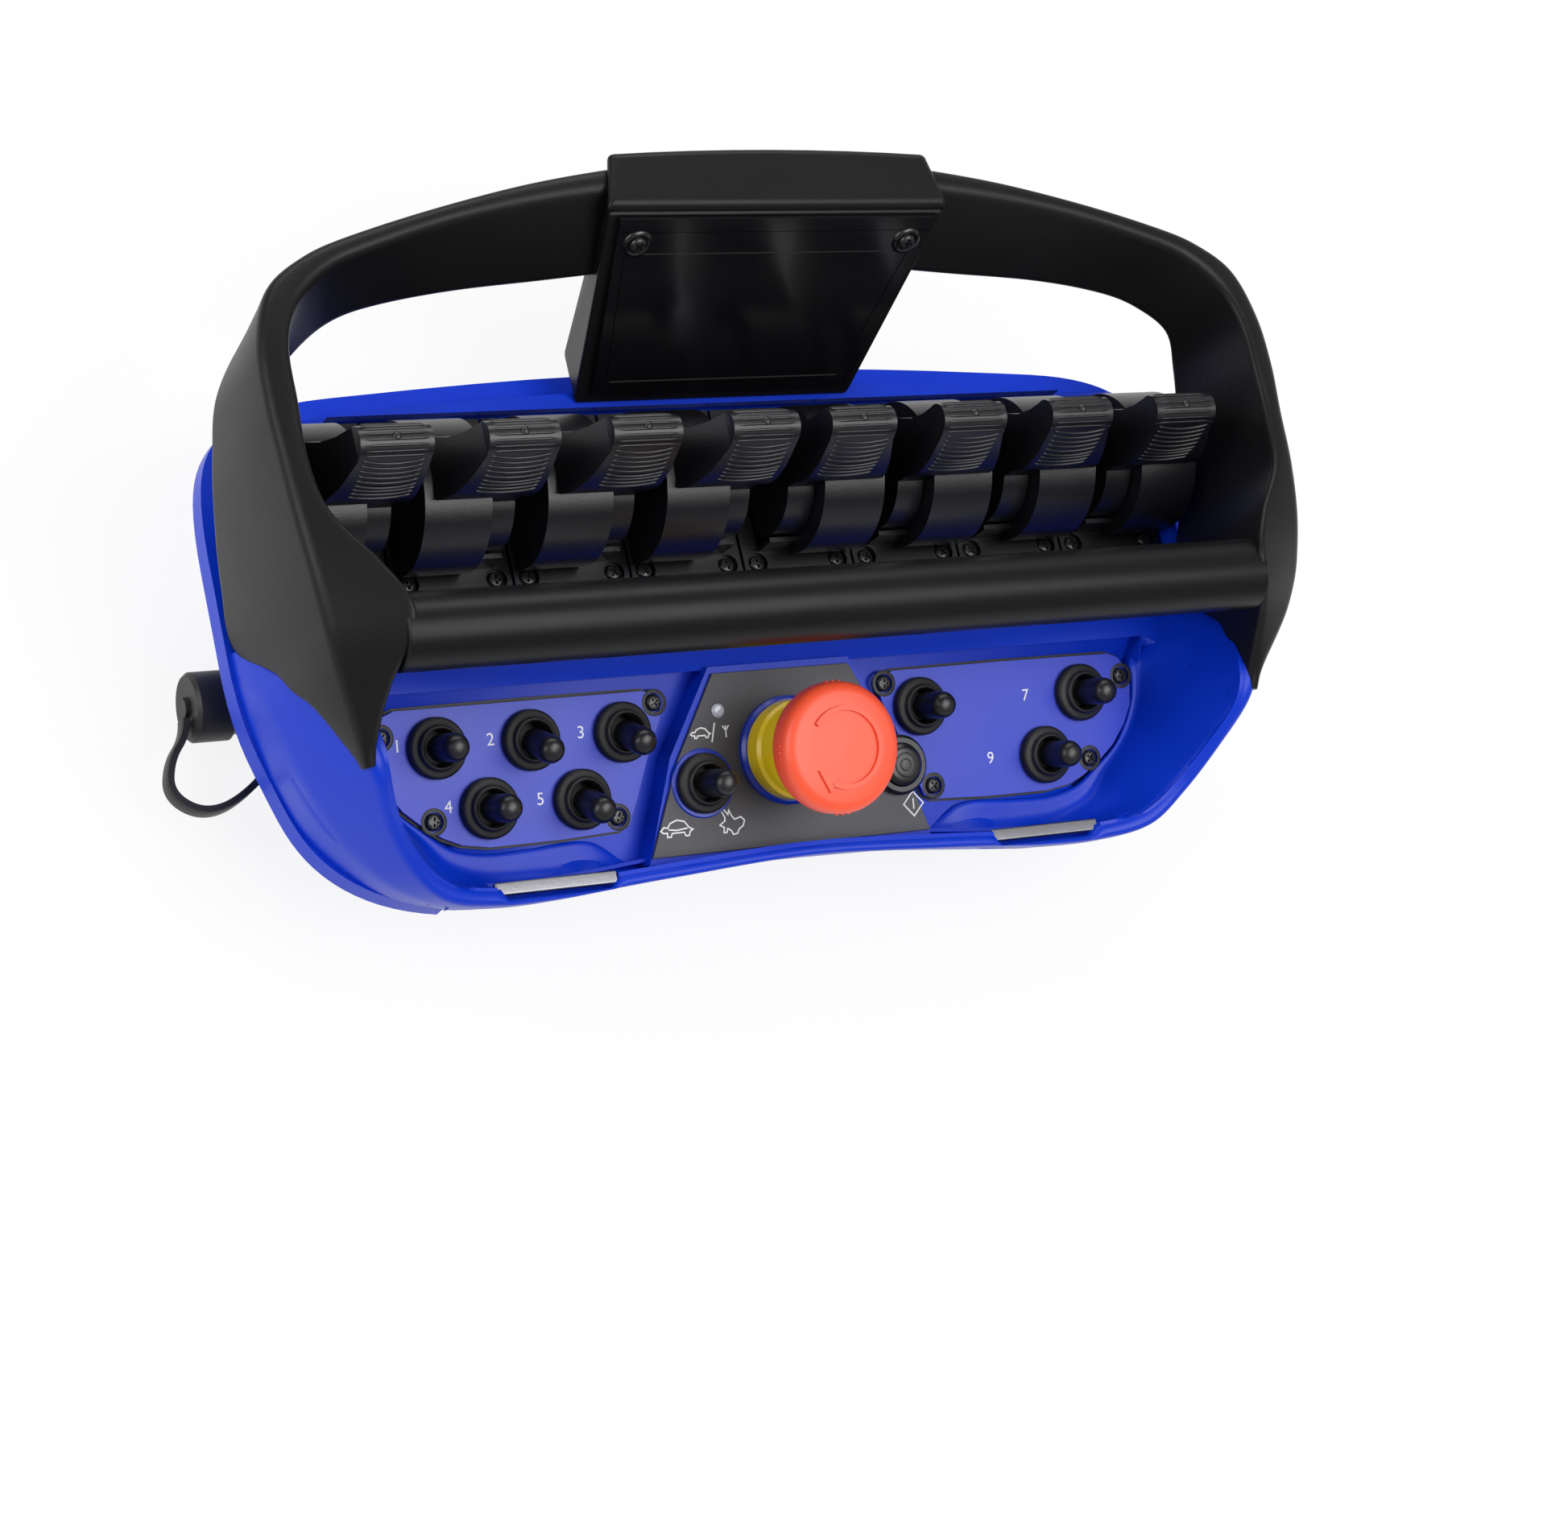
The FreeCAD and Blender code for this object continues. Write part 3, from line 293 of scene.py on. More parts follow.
uneven = calc(tree, "MULTIPLY_ADD", swing, given["Spread"], given["Rough"])
link(tree, uneven, result["Roughness"])
tone = calc(tree, "MULTIPLY_ADD", swing, given["Mottle"], 1.0)
shade = node_of(tree, "ShaderNodeVectorMath", operation="SCALE")
link(tree, given["Base"], shade.inputs[0])
link(tree, tone, shade.inputs["Scale"])
link(tree, shade.outputs[0], result["Color"])
print("group", grain_group.name)

# %% [markdown]
# Each finish is one row of a table: colour, roughness, grain scale and grain depth, and where it differs
# from plain plastic, how metallic, mottled, coated or shiny it is. The colours are those of the material
# itself; highlights come from the lights.

# %% Making a finish
ROUGH_SPREAD = 0.1
COAT_ROUGHNESS = 0.12
GRAIN_HEIGHT = 0.0002


def finish(name, colour, rough, grain, depth, metallic=0.0, mottle=0.12, coat=0.0, shine=0.5):
    paint = bpy.data.materials.new(name)
    paint.use_nodes = True
    tree = paint.node_tree
    shader = tree.nodes["Principled BSDF"].inputs
    effect = node_of(tree, "ShaderNodeGroup", node_tree=grain_group)
    bump = node_of(tree, "ShaderNodeBump")
    for inputs, socket, value in ((shader, "Metallic", metallic), (shader, "Coat Weight", coat),
                                  (shader, "Coat Roughness", COAT_ROUGHNESS),
                                  (shader, "Specular IOR Level", shine), (effect.inputs, "Scale", grain),
                                  (effect.inputs, "Rough", rough), (effect.inputs, "Spread", ROUGH_SPREAD),
                                  (effect.inputs, "Base", (*colour, 1)), (effect.inputs, "Mottle", mottle),
                                  (bump.inputs, "Strength", depth), (bump.inputs, "Distance", GRAIN_HEIGHT)):
        inputs[socket].default_value = value
    link(tree, effect.outputs["Color"], shader["Base Color"])
    link(tree, effect.outputs["Roughness"], shader["Roughness"])
    link(tree, effect.outputs["Height"], bump.inputs["Height"])
    link(tree, bump.outputs["Normal"], shader["Normal"])
    return paint


print("finish reads group", grain_group.name)

# %% Table of finishes
# Each row: name, colour, roughness, grain scale, grain depth, and what differs from plain plastic.
FINISH_ROWS = [
    ("housing_blue", (0.0004, 0.031, 0.50), 0.36, 2400, 0.10, {"shine": 0.26}),
    ("guard_black", (0.006, 0.006, 0.0068), 0.36, 2600, 0.30, {"shine": 0.2}),
    ("tube_black", (0.005, 0.0052, 0.006), 0.34, 3000, 0.12, {"shine": 0.17}),
    ("cover_gloss", (0.003, 0.003, 0.004), 0.24, 900, 0.02, {"coat": 0.2}),
    ("lever_grey", (0.005, 0.005, 0.007), 0.33, 2200, 0.22, {}),
    ("plate_violet", (0.026, 0.050, 0.52), 0.40, 1500, 0.08, {"shine": 0.4}),
    ("gasket_black", (0.006, 0.006, 0.007), 0.5, 2000, 0.2, {}),
    ("panel_grey", (0.045, 0.046, 0.055), 0.5, 1400, 0.45, {"mottle": 0.3}),
    ("boot_black", (0.006, 0.006, 0.008), 0.34, 1600, 0.12, {}),
    ("steel", (0.24, 0.24, 0.26), 0.34, 900, 0.2, {"metallic": 1.0}),
    ("stop_blue", (0.004, 0.025, 0.36), 0.3, 1600, 0.05, {}),
    ("stop_yellow", (0.80, 0.56, 0.006), 0.3, 1600, 0.05, {}),
    ("stop_red", (0.87, 0.088, 0.032), 0.42, 1800, 0.10, {}),
    ("button_black", (0.008, 0.008, 0.009), 0.3, 1800, 0.1, {}),
    ("lamp", (0.40, 0.41, 0.50), 0.2, 1200, 0.05, {"coat": 0.6}),
    ("switch_inner", (0.02, 0.02, 0.022), 0.5, 1500, 0.1, {}),
    ("board_green", (0.01, 0.12, 0.03), 0.4, 900, 0.1, {}),
    ("battery_grey", (0.08, 0.08, 0.085), 0.5, 1500, 0.1, {}),
    ("screw_black", (0.012, 0.012, 0.014), 0.28, 1500, 0.08, {}),
    ("print_white", (0.75, 0.76, 0.78), 0.55, 1500, 0.03, {}),
]
FINISHES = {row[0]: finish(*row[:-1], **row[-1]) for row in FINISH_ROWS}
for node, obj in NODES.items():
    obj.data.materials.clear()
    obj.data.materials.append(FINISHES[SLOT_OF[node]])
print("finishes", len(FINISHES))

# %% [markdown]
# Every visible piece is a mesh at the origin that gets a finish and rides on a body. A piece may
# stand for a solid, which is then hidden. Modifiers are worked out before that, so each ends as plain mesh.

# %% Making pieces
ROUND_FROM = math.radians(30)
FACE_WEIGHT = 100
EDGE_STEPS = 3
SMOOTH = 180


def baked(obj):
    """The plain mesh of an object, with its curve or modifiers worked out."""
    bpy.context.view_layer.update()
    return bpy.data.meshes.new_from_object(obj.evaluated_get(bpy.context.evaluated_depsgraph_get()))


def meshed(name, data):
    """The plain mesh of a text or curve, through an object that is removed again."""
    holder = put(name, data)
    mesh = baked(holder)
    bpy.data.objects.remove(holder)
    return mesh


def add_piece(name, mesh, paint, crisp=None):
    """A piece in its finish, shading smoothly where faces meet by less than the crisp angle."""
    mesh.name = name
    mesh.materials.clear()
    mesh.materials.append(FINISHES[paint])
    if crisp:
        mesh.shade_smooth()
        mesh.set_sharp_from_angle(angle=math.radians(crisp))
    return put(name, mesh)


def settle(piece, body, slot, *stands_for):
    """Makes a finished piece ride on its body and hides the solids it stands for; the slot is not used."""
    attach(piece, body)
    if stands_for:
        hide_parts(*stands_for)
    return piece


def soften(piece, width, steps):
    """Rounds off the edges of a piece, in millimetres, with its flat faces still shading flat."""
    piece.data.shade_smooth()
    bevel = piece.modifiers.new("round_off", "BEVEL")
    bevel.width = width * MM
    bevel.segments = steps
    bevel.limit_method = "ANGLE"
    bevel.angle_limit = ROUND_FROM
    weights = piece.modifiers.new("flat_faces", "WEIGHTED_NORMAL")
    weights.weight = FACE_WEIGHT
    softened = baked(piece)
    piece.modifiers.clear()
    piece.data = softened


def fix(name, mesh, paint, *stands_for, crisp=None, edge=None):
    """A piece that stays with the housing, in its finish, its edges rounded off where asked."""
    piece = add_piece(name, mesh, paint, crisp)
    if edge:
        soften(piece, edge, EDGE_STEPS)
    return settle(piece, "housing", paint, *stands_for)


print("piece helpers ready")

# %% [markdown]
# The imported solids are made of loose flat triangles. A skin is a copy of a solid with its corners
# merged, so that its round faces shade smoothly while its real edges stay crisp. Boxy pieces get a small
# bevel instead, because a moulded edge always catches a thin line of light.

# %% Skins over the solids
MERGE_WITHIN = 2e-6
FLAT_WITHIN = math.radians(1)
SKIN_CRISP = 34
SKIN_STEPS = 2
PLATE_EDGE = 0.3
BASE_EDGE = 0.4
LEVER_EDGE = 0.6


def skin(node, edge=None):
    """A smooth-shaded copy of a solid, its edges rounded off where asked."""
    source = NODES[node].data
    work = bmesh.new()
    for vertex in source.vertices:
        work.verts.new(vertex.co)
    work.verts.ensure_lookup_table()
    for polygon in source.polygons:
        work.faces.new([work.verts[i] for i in polygon.vertices])
    bmesh.ops.remove_doubles(work, verts=work.verts, dist=MERGE_WITHIN)
    if edge:
        bmesh.ops.dissolve_limit(work, angle_limit=FLAT_WITHIN, verts=work.verts, edges=work.edges)
    mesh = bpy.data.meshes.new(node)
    work.to_mesh(mesh)
    work.free()
    piece = add_piece(node + "_skin", mesh, SLOT_OF[node], None if edge else SKIN_CRISP)
    if edge:
        soften(piece, edge, SKIN_STEPS)
    return settle(piece, BODY_OF[node], SLOT_OF[node], node)


case_skin = skin("upper_housing")
for node in ("base_tub", "stop_ring", "stop_collar", "stop_head", "start_bezel", "start_button", "lamp_lens",
             "connector_socket", "dust_cap"):
    skin(node)
for node in ("post_cover", "switch_plate_right", "switch_plate_left", "centre_panel"):
    skin(node, PLATE_EDGE)
for i in range(1, LEVER_COUNT + 1):
    skin(f"lever_base_{i}", BASE_EDGE)
    skin(f"lever_{i}", LEVER_EDGE)
print("skins done")

# %% [markdown]
# The rim of the case dips and draws in at its two front corners. The solid's rim runs level there, so its
# skin is bent: points of the rim are let down and inwards, most at the corner and fading out along it.
# The ledge beside the switch plates is let down too, so that the tray wall can sweep over it, the solid's
# own wall is drawn in a little under the new one, and the frame's back corners are pulled inside the rim.

# %% Rim corners
RIM_LOW, RIM_HIGH = -6.6, 2.6
TUCK = Vector((5.7, 2.7, -10.0))
TUCK_FULL = (100.0, -8.0)
TUCK_NONE = (70.0, 40.0)
LEDGE_LOW, LEDGE_HIGH = 10.8, 11.2
LEDGE_INNER = 95.0
LEDGE_BACK = 20.0
LEDGE_DROP = 12.0
WALL_SIDE = 120.0
WALL_FRONT = -30.0
WALL_BACK = 45.0
WALL_DRAWN_IN = 1.2
FRAME_CORNER = (162.2, 111.0)
FRAME_PULL = (3.6, 2.0)


def share_between(value, none, full):
    """Rises softly from 0 at one value to 1 at another."""
    share = min(1.0, max(0.0, (value - none) / (full - none)))
    return share * share * (3 - 2 * share)


def tucked(point):
    """How far a point of the rim, in millimetres from the datum, moves at the front corners."""
    sideways = share_between(abs(point.x), TUCK_NONE[0], TUCK_FULL[0])
    forwards = share_between(point.y, TUCK_NONE[1], TUCK_FULL[1])
    return Vector((-math.copysign(TUCK.x, point.x), TUCK.y, TUCK.z)) * sideways * forwards


def bent(point):
    """How far any point of the case's skin moves, in millimetres."""
    side = math.copysign(1, point.x)
    shift = Vector()
    if RIM_LOW < point.z < RIM_HIGH:
        shift += tucked(point)
    elif LEDGE_LOW < point.z < LEDGE_HIGH and abs(point.x) > LEDGE_INNER and point.y < LEDGE_BACK:
        shift.z -= LEDGE_DROP
    elif point.z > RIM_HIGH and point.y < WALL_BACK and abs(point.x) > WALL_SIDE:
        shift.x -= side * WALL_DRAWN_IN
    elif point.z > RIM_HIGH and point.y < WALL_FRONT:
        shift.y += WALL_DRAWN_IN
    if abs(point.x) > FRAME_CORNER[0] and point.y > FRAME_CORNER[1]:
        shift -= Vector((side * FRAME_PULL[0], FRAME_PULL[1], 0))
    return shift


moved = 0
for vertex in case_skin.data.vertices:
    shift = bent(vertex.co / MM - DATUM)
    vertex.co += shift * MM
    moved += shift.length > 0
print("case points bent", moved)

# %% [markdown]
# Small turned and built-up shapes are needed many times. A lathe turns a half profile about its own axis,
# and a prism raises an outline. They take millimetres and work in bmesh, which needs no edit mode.

# %% Turned and built-up shapes
def finished_mesh(work):
    bmesh.ops.recalc_face_normals(work, faces=work.faces)
    mesh = bpy.data.meshes.new("shape")
    work.to_mesh(mesh)
    work.free()
    return mesh


def join_rings(work, rows):
    """Faces between rings with the same count of points."""
    for one, two in zip(rows, rows[1:]):
        for k in range(len(one)):
            j = (k + 1) % len(one)
            work.faces.new((one[k], one[j], two[j], two[k]))


def skinned(rings):
    """A closed mesh through a row of rings."""
    work = bmesh.new()
    rows = [[work.verts.new(point * MM) for point in ring] for ring in rings]
    join_rings(work, rows)
    work.faces.new(rows[0])
    work.faces.new(rows[-1])
    return finished_mesh(work)


def turn_angles(steps):
    return [2 * math.pi * k / steps for k in range(steps)]


def lathe(work, profile, steps=32):
    """Turns a half profile (radius, height) about Z, closed where it meets the axis."""
    rows = []
    for radius, height in profile:
        angles = turn_angles(steps) if radius else [0]
        ring = [Vector((radius * math.cos(a), radius * math.sin(a), height)) * MM for a in angles]
        rows.append([work.verts.new(point) for point in ring])
    for low, high in zip(rows, rows[1:]):
        for k in range(steps):
            j = k + 1
            corners = [low[k % len(low)], low[j % len(low)], high[j % len(high)], high[k % len(high)]]
            work.faces.new(list(dict.fromkeys(corners)))
    return rows


def turned(profile, steps=32, at=Matrix.Identity(4)):
    """A turned mesh, moved to its place."""
    work = bmesh.new()
    lathe(work, profile, steps)
    work.transform(at)
    return finished_mesh(work)


def prism(outline, low, high, at=Matrix.Identity(4)):
    """A block on a flat outline (x, y) between two heights."""
    mesh = skinned([[Vector((x, y, z)) for x, y in outline] for z in (low, high)])
    mesh.transform(at)
    return mesh


print("lathe and prism ready")

# %% [markdown]
# Printing and raised lines are flat bands of even width along a line. A curve with a bevel would be round,
# so a stroke is drawn point by point, with the band's two sides meeting at half the bend.

# %% Strokes
MITRE_LIMIT = 0.4


def stroke(work, points, width, thick, closed=False):
    """A band of even width along a flat line (x, y), raised by its thickness."""
    count = len(points)
    flat = [Vector(p) * MM for p in points]
    sides = []
    for i, here in enumerate(flat):
        before = flat[i - 1] if closed or i else here
        after = flat[(i + 1) % count] if closed or i < count - 1 else here
        arriving = (here - before).normalized() if here != before else (after - here).normalized()
        leaving = (after - here).normalized() if here != after else arriving
        middle = (arriving + leaving).normalized()
        half = width * MM / 2 / max(MITRE_LIMIT, middle.dot(arriving))
        across = Vector((-middle.y, middle.x)) * half
        sides.append((here + across, here - across))
    tops = [[work.verts.new((p.x, p.y, thick * MM)) for p in pair] for pair in sides]
    feet = [[work.verts.new((p.x, p.y, 0)) for p in pair] for pair in sides]
    for i in range(count if closed else count - 1):
        j = (i + 1) % count
        work.faces.new((tops[i][0], tops[i][1], tops[j][1], tops[j][0]))
        work.faces.new((tops[i][0], tops[j][0], feet[j][0], feet[i][0]))
        work.faces.new((tops[i][1], feet[i][1], feet[j][1], tops[j][1]))


print("stroke ready")

# %% [markdown]
# Long mouldings are swept: outlines stand at places along them, and a curve through each corner gives the
# outlines between. The curve keeps to the spacing of its points, so that close ones make no waves, and
# every corner is rounded before the rings are joined. A modelled loop keeps such a shape exact and even.

# %% Sweeping a row of outlines
CORNER = 3.0
CORNER_STEPS = 4
CORNER_SHARE = 0.42
SPAN_STEPS = 8
SWEEP_CRISP = 50


def spaced(points):
    """Marks along a row of points: how far each lies from the first."""
    marks = [0.0]
    for one, two in zip(points, points[1:]):
        marks.append(marks[-1] + (two - one).length)
    return marks


def through(points, marks):
    """Points of a smooth curve through given points, which stand at given marks along it."""
    slopes = []
    for i in range(len(points)):
        before = max(i - 1, 0)
        after = min(i + 1, len(points) - 1)
        slopes.append((points[after] - points[before]) / (marks[after] - marks[before]))
    result = []
    for i in range(len(points) - 1):
        span = marks[i + 1] - marks[i]
        for k in range(SPAN_STEPS):
            t = k / SPAN_STEPS
            near = points[i] * (2 * t ** 3 - 3 * t ** 2 + 1) + slopes[i] * span * (t ** 3 - 2 * t ** 2 + t)
            far = points[i + 1] * (3 * t ** 2 - 2 * t ** 3) + slopes[i + 1] * span * (t ** 3 - t ** 2)
            result.append(near + far)
    return result + [points[-1]]


def swept(half):
    """Outlines all along a mirrored loop, from the outlines of one half that end in the middle."""
    one = [[Vector(p) + DATUM for p in section] for section in half]
    other = [[Vector((-p.x, p.y, p.z)) for p in section] for section in reversed(one[:-1])]
    sections = one + other
    marks = spaced([sum(section, Vector()) / len(section) for section in sections])
    tracks = [through(track, marks) for track in zip(*sections)]
    return [[corner.copy() for corner in corners] for corners in zip(*tracks)]


def rounded(corners):
    """An outline with its corners drawn round."""
    ring = []
    for i, corner in enumerate(corners):
        before = corners[i - 1] - corner
        after = corners[(i + 1) % len(corners)] - corner
        start = corner + before * min(CORNER / before.length, CORNER_SHARE)
        end = corner + after * min(CORNER / after.length, CORNER_SHARE)
        for k in range(CORNER_STEPS + 1):
            t = k / CORNER_STEPS
            ring.append(start * (1 - t) ** 2 + corner * 2 * t * (1 - t) + end * t ** 2)
    return ring


print("sweep ready,", SPAN_STEPS, "steps a span")

# %% [markdown]
# The guard is one moulded loop with soft edges. Its solid is a loft with a slight wave near the front tips,
# so its skin is swept anew over it, from tip to tip, through four-sided outlines.

# %% Guard loop
# Each outline: outer top, inner top, inner low and outer low corner, from the tip to the middle of the arch.
GUARD = [
    [(154.2, -6.6, 44.0), (150.9, -6.2, 44.4), (150.7, -5.2, 40), (154.6, -5.8, 40)],
    [(155.8, -1, 47.5), (150.5, 0, 48.5), (150, 2.5, 38), (157, 0.5, 38)],
    [(162, 13, 58), (148.3, 12.5, 63), (150, 18, 37), (164.5, 14, 37)],
    [(164.8, 21.5, 62.5), (144.8, 20.5, 73.2), (149.5, 25, 30), (167, 21.5, 30)],
    [(166.5, 29, 65.5), (143.4, 29.5, 77.2), (149.5, 33, 24), (168.6, 29, 24)],
    [(169, 44, 69), (149.8, 43.5, 75.6), (157, 45, 4), (171.5, 44, 3)],
    [(171, 61, 70.3), (161, 60, 73.2), (163, 60, 10), (173.5, 61, 8)],
    [(172, 78, 70.5), (164, 77, 72.2), (164, 77, 17), (174.5, 78, 15)],
    [(173, 95, 71), (164, 93, 72.8), (163, 93, 25), (174.5, 95, 23)],
    [(172, 112, 71.2), (163.5, 110, 73), (160, 109, 34), (172.5, 112, 32)],
    [(166.5, 128, 71.5), (158.5, 123, 73), (152.5, 117, 45), (163, 126, 43)],
    [(154, 137.5, 72.5), (148, 132.5, 73.5), (141.5, 125, 47), (149, 134, 45)],
    [(139, 143.2, 73.5), (134.5, 138, 74.2), (129, 129.5, 48), (134, 140.5, 46)],
    [(109, 151.5, 75), (106, 146.5, 75.5), (104, 133, 50.5), (107, 147, 48)],
    [(76, 159, 76), (75, 152.5, 76.5), (73, 136, 50.5), (75, 152, 48)],
    [(40, 164, 76.8), (40, 156, 77.2), (39, 139, 50.5), (40, 155, 48)],
    [(0, 166, 77), (0, 157, 77.5), (0, 140, 50.5), (0, 156, 48)],
]
rings = [rounded(corners) for corners in swept(GUARD)]
fix("guard_loop", skinned(rings), "guard_black", "guard_frame", crisp=SWEEP_CRISP)
print("guard outlines", len(rings))

# %% [markdown]
# The wall round the switch tray wraps from one guard tip to the other and falls towards the front, where it
# becomes a low lip. It is swept like the guard, over the solid: from the outer foot over the crest down to
# the strip beside the switch plates. The lip is scooped out behind each strap bar.

# %% Tray wall outlines
# Each outline: outer foot, outer waist, outer and inner crest, inner slope, strip edges, underside.
TRAY_WALL = [
    [(0, -33, -4.5), (0, -34.6, 2), (0, -36.9, 8.5), (0, -32.8, 8.5), (0, -32.6, -2), (0, -30.5, -10),
     (0, -29, -13), (0, -30, -15)],
    [(50, -36, -4.5), (50, -37.3, 2), (50, -39.3, 8.5), (50, -35, 8.5), (50, -33.6, -2), (50, -29.5, -10.5),
     (50, -28, -12.5), (50, -29, -15)],
    [(66, -37.3, -4.5), (66, -38.4, 1.6), (66, -40.3, 8.3), (66, -36, 8.3), (66, -33.2, -5),
     (66, -28.4, -9.1), (66, -20.9, -6.8), (66, -20.9, -10.5)],
    [(86, -38.8, -4.5), (86, -40.2, 1), (86, -41.5, 8), (86, -36.8, 8), (86, -33.5, -5), (86, -28.6, -9.2),
     (86, -21.1, -6.9), (86, -21.1, -10.5)],
    [(106, -39.2, -4.5), (105.7, -40.6, 1.5), (106.2, -41.6, 8.7), (104.8, -36.8, 8.7), (103.5, -32.8, -4.5),
     (102, -27.8, -8.9), (99.5, -21.3, -7), (99.5, -21.3, -10.5)],
    [(123.5, -37.6, -4.5), (122.8, -38.3, 2), (123.9, -39.5, 12.6), (121, -34.8, 12.6), (118.4, -29.8, 0.5),
     (113.5, -23.8, -7.7), (110.5, -19.3, -6.4), (110.5, -19.3, -10)],
    [(139.3, -33.2, -4.5), (137.3, -31.3, 4), (135.6, -30.6, 19.1), (132.4, -27.4, 19.1), (127.5, -21.5, 7.5),
     (121.8, -15.6, -5.2), (118.5, -14.3, -4.9), (118.5, -14.3, -9)],
    [(152.2, -24.3, -4.5), (148.4, -20.8, 7), (145.2, -19.4, 30.6), (141.4, -17.7, 30.6), (135, -12.5, 12),
     (129.2, -8.3, -3), (127, -8, -2.9), (127, -8, -7)],
    [(161.1, -13, -4.5), (156.9, -9.7, 12), (151.2, -9.4, 42.4), (146.6, -8.6, 42.4), (139.5, -3, 17),
     (134.3, -1.5, -0.9), (131.9, -1.2, -0.9), (131.9, -1.2, -5)],
    [(166, 0, -4.5), (162.4, 1.4, 14), (155.1, -0.2, 45.4), (148.4, 0.7, 45.4), (142.5, 5, 20),
     (137.2, 6, 1.4), (135, 6, 1.3), (135, 6, -3)],
    [(169, 12, -4.5), (165.9, 13, 15), (159.6, 11, 42.4), (150.9, 11.5, 42.4), (144, 12, 21),
     (138.2, 12.5, 3.4), (135.8, 12.5, 3.2), (135.8, 12.5, -1)],
    [(170.5, 23, -4.5), (168.9, 23, 14), (165.4, 23, 34), (153.6, 23, 34), (146, 20.5, 19),
     (138.4, 18.5, 4.6), (135.6, 17.5, 4.4), (135.6, 17.5, 0)],
    [(171.3, 33, -4.5), (170.6, 32.5, 9), (168.3, 32, 22), (156.6, 32, 22), (149, 31, 11), (142, 28, 3),
     (140, 27, 2.4), (140, 27, -2)],
    [(171.5, 44, -4.5), (171.2, 43, 4), (169.7, 42, 12.5), (158.8, 42, 12.5), (152, 41, 6.5), (146, 38, 2.5),
     (144, 38, 1.5), (144, 38, -2)],
]
print("half wall outlines", len(TRAY_WALL))

# %% Tray wall
FOOT, INNER_CREST, INNER_SLOPE = 0, 3, 4
STRAP_BAR_MIDDLE = 86.2
SCOOP_HALF = 18.5
SCOOP_CREST = (-39.3, 6.6)
SCOOP_FLOOR = (-37.6, -2.5)

rings = []
for corners in swept(TRAY_WALL[::-1]):
    corners[FOOT] += tucked(corners[FOOT] - DATUM)
    crest = corners[INNER_CREST] - DATUM
    if abs(abs(crest.x) - STRAP_BAR_MIDDLE) < SCOOP_HALF and crest.y < 0:
        for corner, (y, z) in ((INNER_CREST, SCOOP_CREST), (INNER_SLOPE, SCOOP_FLOOR)):
            corners[corner].y = y + DATUM.y
            corners[corner].z = z + DATUM.z
    rings.append(rounded(corners))
fix("tray_wall", skinned(rings), "housing_blue", crisp=SWEEP_CRISP)
print("wall outlines", len(rings))

# %% [markdown]
# The neck strap hooks on two flat steel bars in the lip. Each is a block with rounded edges: its length and
# height are those of the solid, and its depth is what shows of it between the lip and the scoop.

# %% Strap bars
STRAP_BAR_FRONT = -38.2
STRAP_BAR_BACK = -34.2
STRAP_BAR_EDGE = 0.6

front, back = DATUM.y + STRAP_BAR_FRONT, DATUM.y + STRAP_BAR_BACK
for node in ("strap_bar_left", "strap_bar_right"):
    low, high = (Vector(corner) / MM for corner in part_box(node))
    outline = [(low.x, front), (high.x, front), (high.x, back), (low.x, back)]
    fix(node + "_steel", prism(outline, low.z, high.z), "steel", node, edge=STRAP_BAR_EDGE)
    print(node, round(high.x - low.x, 1), "mm long")

# %% [markdown]
# Below the rim the case has a set-back band all round. It covers the inner frame of the lever deck, which
# comes close to the outside at the back corners. It follows the rim's outline, drawn in by its set-back.

# %% Skirt band
RIM = [(0, -34), (27, -35), (54, -37.5), (76, -39.5), (98, -40.5), (121, -39.2), (136, -35.5), (148, -29.5),
       (157, -21.5), (163.5, -11), (168, 3), (171, 16), (172.5, 34), (172.5, 60), (171.5, 90), (168, 103),
       (160.5, 112.5), (148, 118.5), (120, 122.5), (60, 126), (0, 127)]
BAND_INSET = 8.0
BAND_LOW, BAND_HIGH = -18.0, -5.8
BAND_THICK = 1.2
LAP = 3


def rim_loop(inset):
    """The rim's outline drawn in by an inset, as a smooth closed row of flat points."""
    full = RIM + [(-x, y) for x, y in reversed(RIM[1:-1])]
    middle = (max(y for x, y in full) + min(y for x, y in full)) / 2
    across = 1 - inset / max(x for x, y in full)
    along = 1 - inset / (max(y for x, y in full) - middle)
    row = [Vector((x * across, middle + (y - middle) * along, 0)) for x, y in full]
    lapped = row[-LAP:] + row + row[:LAP + 1]
    curve = through(lapped, spaced(lapped))
    return curve[LAP * SPAN_STEPS:(LAP + len(row)) * SPAN_STEPS]


work = bmesh.new()
outer, inner = rim_loop(BAND_INSET), rim_loop(BAND_INSET + BAND_THICK)
rows = []
for outline, z in ((outer, BAND_LOW), (outer, BAND_HIGH), (inner, BAND_HIGH), (inner, BAND_LOW)):
    rows.append([work.verts.new((point + DATUM + UP * z) * MM) for point in outline])
join_rings(work, rows + rows[:1])
fix("skirt_band", finished_mesh(work), "housing_blue", crisp=SWEEP_CRISP)
print("band points", len(outer))

# %% [markdown]
# The grab tube is a plain drawn tube whose ends go into the pillars. A cylinder would do, but a row of four
# rings gives it a small chamfer at each end without a modifier.

# %% Grab tube
TUBE_AT = (25.9, 64.0)
TUBE_RADIUS = 11.25
TUBE_END_RADIUS = 10.6
TUBE_HALF = 146.6
TUBE_STRAIGHT = 146.0
TUBE_STEPS = 72
TUBE_CRISP = 35


def tube_ring(x, radius):
    y, z = TUBE_AT
    ring = [(x, y + radius * math.cos(a), z + radius * math.sin(a)) for a in turn_angles(TUBE_STEPS)]
    return [Vector(point) + DATUM for point in ring]


